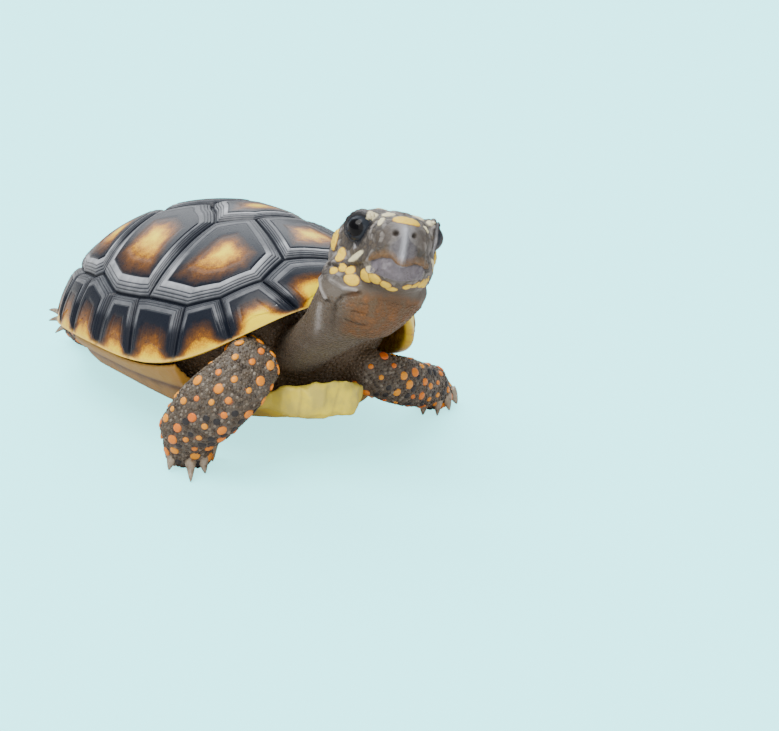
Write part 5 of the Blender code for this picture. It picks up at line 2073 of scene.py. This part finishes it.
@dataclass
class Coat:
    """Scales of the legs, tail and neck, laid on the skin as solid mesh."""

    surface: Surface
    material: Material
    shield_form: Object = None
    granule_form: Object = None
    tree: bpy.types.GeometryNodeTree = None
    warm_spacing: dict = field(default_factory=lambda: {"fore": 3.1, "hind": 3.7})
    warm_large: tuple = (1.0, 1.22)     # least and most radius of the large orange scales
    warm_small: tuple = (0.62, 0.85)
    large_share: float = 0.55
    most_hollow: float = 0.55           # orange stops where a leg runs in under the shell
    black_spacing: float = 1.9
    black_radius: tuple = (0.75, 0.98)
    black_gap: float = 1.75             # least distance to an orange scale
    grain_spacing: float = 0.62
    grain_radius: tuple = (0.28, 0.46)
    large: list = field(default_factory=list)           # points, radii and tones of each leg

    def __post_init__(self) -> None:
        """Make the forms and the tree that all scales share."""
        self.shield_form = scale_form("shield_form", 12, ((0.98, -0.45), (1.0, 0.12), (0.90, 0.58),
                                                          (0.66, 0.87), (0.34, 0.98)))
        self.granule_form = scale_form("granule_form", 7, ((0.96, -0.5), (1.0, 0.1), (0.72, 0.8)))
        self.tree = laying_tree()

    def lay(self, name: str, roots: Roots, form: Object, along: np.ndarray,
            sizes: np.ndarray, tones: dict[str, np.ndarray]) -> Object:
        """Lay one scale on each root and join them in one piece.

        Args:
            name: name of the piece.
            roots: where the scales grow.
            form: the form that is repeated.
            along: way that each scale's length points.
            sizes: half width, half length and height of each scale.
            tones: one number for each scale, by the name of its attribute.

        Returns:
            The finished piece.
        """
        piece = new_object(name, roots.points, [])
        for key, rows in (("out", unit(roots.normals - 0.16 * along)), ("along", along),
                          ("size", sizes * MM)):
            layer = piece.data.attributes.new(key, "FLOAT_VECTOR", "POINT")
            layer.data.foreach_set("vector", rows.astype(np.float32).ravel())
        modifier = piece.modifiers.new("scales", "NODES")
        modifier.node_group = self.tree
        values = {"Form": form, "Length": 1.0, "Height": 1.0, "Finish": self.material}
        for item in self.tree.interface.items_tree:
            if item.in_out == "INPUT" and item.name in values:
                modifier[item.identifier] = values[item.name]
        apply_modifiers(piece)
        mesh = piece.data
        mesh.shade_smooth()
        form_points = points_of(form.data) * MM
        for key, numbers in tones.items():
            store(mesh, key, np.repeat(numbers, len(form_points)))
        self.map_patches(mesh, roots, form_points)
        return finish_piece(piece, self.material)

    def map_patches(self, mesh: Mesh, roots: Roots, form_points: np.ndarray) -> None:
        """Give each scale a small patch at its root's place on an unwrap of the skin.

        Args:
            mesh: the realized scales.
            roots: where they grow.
            form_points: points of the form that they repeat.
        """
        middle = roots.points.mean(0)
        _, _, ways = np.linalg.svd(roots.points - middle, full_matrices=False)
        run, side, rise = ((roots.points - middle) @ ways.T).T
        u = 0.5 + np.arctan2(rise, side) / math.tau
        v = (run - run.min()) / max(np.ptp(run), 1e-9)
        base = np.stack((u, v), 1) * (1 - 4 * PATCH) + 2 * PATCH
        spots = (base[:, None, :] + form_points[None, :, :2] * PATCH).reshape(-1, 2)
        corners = numbers_of(mesh.loops, "vertex_index", kind=np.int32)
        layer = mesh.uv_layers.new(name="OFBake")
        layer.data.foreach_set("uv", spots[corners].astype(np.float32).ravel())

    def run_of(self, leg: str, points: np.ndarray) -> np.ndarray:
        """Return the way down the leg.

        Args:
            leg: which leg.
            points: places on it.

        Returns:
            A direction for each place.
        """
        stops = np.array([np.array(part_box(node)).mean(0) / MM for node in LEG_NODES[leg]])
        stops = np.concatenate((stops, (stops[-1] - (0.0, 0.0, 4.0),)))
        ways = unit(np.diff(stops, axis=0))
        middles = (stops[1:] + stops[:-1]) / 2
        weights = np.exp(-np.linalg.norm(points[:, None] - middles[None], axis=2) / 3.0)
        return unit(weights @ ways)

    def square(self, ways: np.ndarray, normals: np.ndarray) -> np.ndarray:
        """Return each way turned into the skin's plane."""
        return unit(ways - normals * np.sum(ways * normals, 1)[:, None])

    def dress_leg(self, leg: str, number: int) -> None:
        """Lay the coloured scales of a leg, then fill the rest with granules.

        Args:
            leg: which leg.
            number: its place in the row of legs, for the seeds.
        """
        rng = np.random.default_rng(SEED + number)
        nodes = LEG_NODES[leg]
        warm = self.surface.scatter(nodes, self.warm_spacing[leg[:4]], SEED + 10 + number)
        warm = warm.chosen(self.skin_stains_and_painted_light(warm)["hollow"] < self.most_hollow)
        count = len(warm.points)
        sizes = np.where(rng.random(count) < self.large_share,
                         rng.uniform(*self.warm_large, count), rng.uniform(*self.warm_small, count))
        black = self.surface.scatter(nodes, self.black_spacing, SEED + 20 + number)
        gap, _ = distance_to(black.points, warm.points)
        knee = np.array(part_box(nodes[0]))[1, 2] / MM
        ahead = black.normals @ unit(np.array((0.0, -1.0, -0.1)))
        black = black.chosen((gap > self.black_gap) & (ahead > 0.45)
                             & (black.points[:, 2] < 0.62 * knee))
        black_sizes = rng.uniform(*self.black_radius, len(black.points))
        big = warm.with_more(black)
        radius = np.concatenate((sizes, black_sizes))
        orange = np.concatenate((np.ones(len(sizes)), np.zeros(len(black_sizes))))
        along = self.square(self.run_of(leg, big.points), big.normals)
        wide = radius * rng.uniform(0.84, 0.98, len(radius))
        high = (0.22 + 0.16 * radius) * np.where(orange > 0, 1.0, 0.6)
        shapes = np.stack((wide, radius, high), 1)
        shade = rng.random(len(radius))
        self.lay(f"shields_{leg}", big, self.shield_form, along, shapes,
                 {"orange": orange, "black": 1 - orange, "shade": shade})
        self.large.append((big.points, radius, orange))
        grains = self.surface.scatter(nodes, self.grain_spacing, SEED + 30 + number)
        gap, nearest = distance_to(grains.points, big.points)
        grains = grains.chosen(gap > radius[nearest] * 0.9 + 0.24)
        size = rng.uniform(*self.grain_radius, len(grains.points))
        along = self.square(self.run_of(leg, grains.points), grains.normals)
        shapes = np.stack((size * 0.95, size * 1.1, rng.uniform(0.15, 0.26, len(size))), 1)
        zero = np.zeros(len(size))
        self.lay(f"granules_{leg}", grains, self.granule_form, along, shapes,
                 {"orange": zero, "black": zero, "shade": rng.random(len(size)) ** 1.35,
                  **self.skin_stains_and_painted_light(grains)})

    def dress_soft(self, name: str, nodes: Sequence[str], spacing: float, height: float,
                   seed: int, where: Callable[[Roots], np.ndarray] | None = None) -> None:
        """Cover a soft part with small flat granules.

        Args:
            name: name of the piece.
            nodes: solids whose skin is covered.
            spacing: distance between granules.
            height: how far they stand out.
            seed: seed of the random draw.
            where: keeps the roots for which it returns true.
        """
        rng = np.random.default_rng(seed)
        roots = self.surface.scatter(nodes, spacing, seed, where)
        count = len(roots.points)
        size = spacing * rng.uniform(0.50, 0.64, count)
        way = np.tile(unit(np.array((0.0, -0.6, 0.8))), (count, 1))
        shapes = np.stack((size * 1.1, size * 0.95, height * rng.uniform(0.7, 1.2, count)), 1)
        zero = np.zeros(count)
        self.lay(name, roots, self.granule_form, self.square(way, roots.normals), shapes,
                 {"orange": zero, "black": zero, "shade": rng.uniform(0.30, 0.64, count),
                  **self.skin_stains_and_painted_light(roots)})

    def skin_stains_and_painted_light(self, roots: Roots) -> dict[str, np.ndarray]:
        """Return the masks of stain, painted shade and painted highlights that each root takes from
        the skin beneath it.
        """
        _, nearest = distance_to(roots.points, self.surface.points)
        return {name: mask[nearest] for name, mask in self.surface.masks.items()}

    def mark_skin(self, skin: Object) -> None:
        """Repeat the coat's coloured spots on the skin beneath.

        Args:
            skin: the skin's object.
        """
        nodes = [node for row in LEG_NODES.values() for node in row]
        legs = np.flatnonzero(np.isin(self.surface.parts, nodes))
        places, radii, tones = [np.concatenate(rows) for rows in zip(*self.large)]
        gap, nearest = distance_to(self.surface.points[legs], places)
        inside = 0.7 * smoothstep(0.62, 0.30, gap / radii[nearest])
        store_part(skin.data, "orange", legs, inside * tones[nearest])
        store_part(skin.data, "black", legs, inside * (1 - tones[nearest]))

    def build(self, skin: Object) -> None:
        """Lay the whole coat."""
        for number, leg in enumerate(LEGS):
            self.dress_leg(leg, number)

        def off_head(roots: Roots) -> np.ndarray:
            """Tell which roots lie on the neck, clear of the head's own scales."""
            local = HEAD.to_local(roots.points)
            return (local[:, 2] < -14.5) | (local[:, 1] > 13.0)

        self.dress_soft("granules_neck", ("neck",), 0.60, 0.08, SEED + 50, off_head)
        self.dress_soft("granules_tail", ("tail",), 0.70, 0.22, SEED + 51)
        self.dress_soft("granules_trunk", ("trunk",), 0.95, 0.20, SEED + 52, clear_of_cut)
        self.mark_skin(skin)
        for form in (self.shield_form, self.granule_form):
            bpy.data.objects.remove(form, do_unlink=True)


def clear_of_cut(roots: Roots) -> np.ndarray:
    """Tell which roots of the trunk can be seen through the shell's openings."""
    local = SHELL.to_local(roots.points)
    return ((local[:, 1] < -16.0) | (local[:, 1] > 20.0)) & (local[:, 2] < 30.0)


# --- studio -----------------------------------------------------------------------------

@dataclass
class Studio:
    """Floor, soft light and the camera."""

    backdrop: Colour = (0.22, 0.92, 1.0)
    bounce: Colour = (0.66, 0.66, 0.64)
    glow: Colour = (0.36, 1.0, 1.0)
    glow_power: float = 1.9
    sky: Colour = (0.95, 0.97, 1.0)
    sky_power: float = 0.42
    camera_place: tuple = (-215.92, -325.6, 154.2)
    azimuth: float = -37.7
    elevation: float = 20.0
    roll: float = 4.0
    lens: float = 81.2
    floor_reach: float = 6000.0
    suns: tuple = (                     # name, turn, height, spread, power and tint
        ("key", 40.0, 62.0, 45.0, 3.6, (1.0, 0.98, 0.95)),
        ("back", 165.0, 42.0, 60.0, 2.2, (0.93, 0.97, 1.0)),
        ("front", -10.0, 22.0, 50.0, 0.9, (1.0, 0.97, 0.93)),
        ("glint", 12.0, 48.0, 4.0, 0.45, (1.0, 1.0, 1.0)),
    )

    def floor(self) -> None:
        """Lay a wide, flat, pale floor."""
        material, tree = new_material("backdrop")
        seen = tree.add("ShaderNodeLightPath").outputs["Is Camera Ray"]
        colour = tree.mix(seen, self.bounce, self.backdrop)
        glow = tree.mix(seen, (0.0, 0.0, 0.0), self.glow)
        tree.principled(colour, 0.9, tree.relief(tree.noise(4.0, 2.0), 0.02),
                        Specular_IOR_Level=0.1, Emission_Color=glow,
                        Emission_Strength=self.glow_power)
        corners = np.array(((-1, -1, 0), (1, -1, 0), (1, 1, 0), (-1, 1, 0)))
        piece = new_object("floor", corners * self.floor_reach, [(0, 1, 2, 3)])
        piece.data.materials.append(material)

    def sun(self, name: str, turn: float, height: float, spread: float, power: float,
            colour: Colour) -> None:
        """Add one broad soft light that is even over the whole floor.

        Args:
            name: name of the light.
            turn: degrees from the camera's side, to the left.
            height: degrees above the floor.
            spread: width of the light in degrees.
            power: strength.
            colour: tint.
        """
        lamp = bpy.data.lights.new(name, "SUN")
        lamp.angle = math.radians(spread)
        lamp.energy = power
        lamp.color = colour
        placed(name, lamp).rotation_euler = (math.radians(90.0 - height), 0.0,
                                             math.radians(self.azimuth - turn))

    def world(self) -> None:
        """Fill the surroundings with pale light."""
        world = bpy.data.worlds.new("studio")
        world.use_nodes = True
        background = world.node_tree.nodes["Background"]
        background.inputs["Color"].default_value = (*self.sky, 1.0)
        background.inputs["Strength"].default_value = self.sky_power
        bpy.context.scene.world = world

    def camera(self) -> None:
        """Place the camera at its angle and distance from the tortoise."""
        lens = bpy.data.cameras.new("camera")
        lens.lens = self.lens
        lens.sensor_width = 36.0
        lens.clip_start = 0.01
        lens.clip_end = 50.0
        holder = placed("camera", lens)
        turn = (Matrix.Rotation(math.radians(self.azimuth), 4, "Z")
                @ Matrix.Rotation(math.radians(90.0 - self.elevation), 4, "X")
                @ Matrix.Rotation(math.radians(self.roll), 4, "Z"))
        holder.matrix_world = Matrix.Translation(Vector(self.camera_place) * MM) @ turn
        bpy.context.scene.camera = holder

    def build(self) -> None:
        """Set up the whole studio."""
        self.floor()
        self.world()
        for sun in self.suns:
            self.sun(*sun)
        self.camera()


def main() -> None:
    """Dress the whole tortoise and report each piece."""
    logging.basicConfig(level=logging.INFO, format="%(name)s: %(message)s")
    Studio().build()
    dome = Dome()
    Carapace(dome, ScuteMap()).build(ScuteHorn().material())
    Plastron(dome).build(PlastronHorn().material())
    flesh = Skin()
    skin = flesh.build(Hide().material())
    Beak().build(skin, SheathHorn().material())
    Coat(flesh.surface(skin), LegScales().material()).build(skin)
    Eyes().build(Eyeball().material())
    Claws().build(ClawHorn().material())


if __name__ == "__main__":
    main()
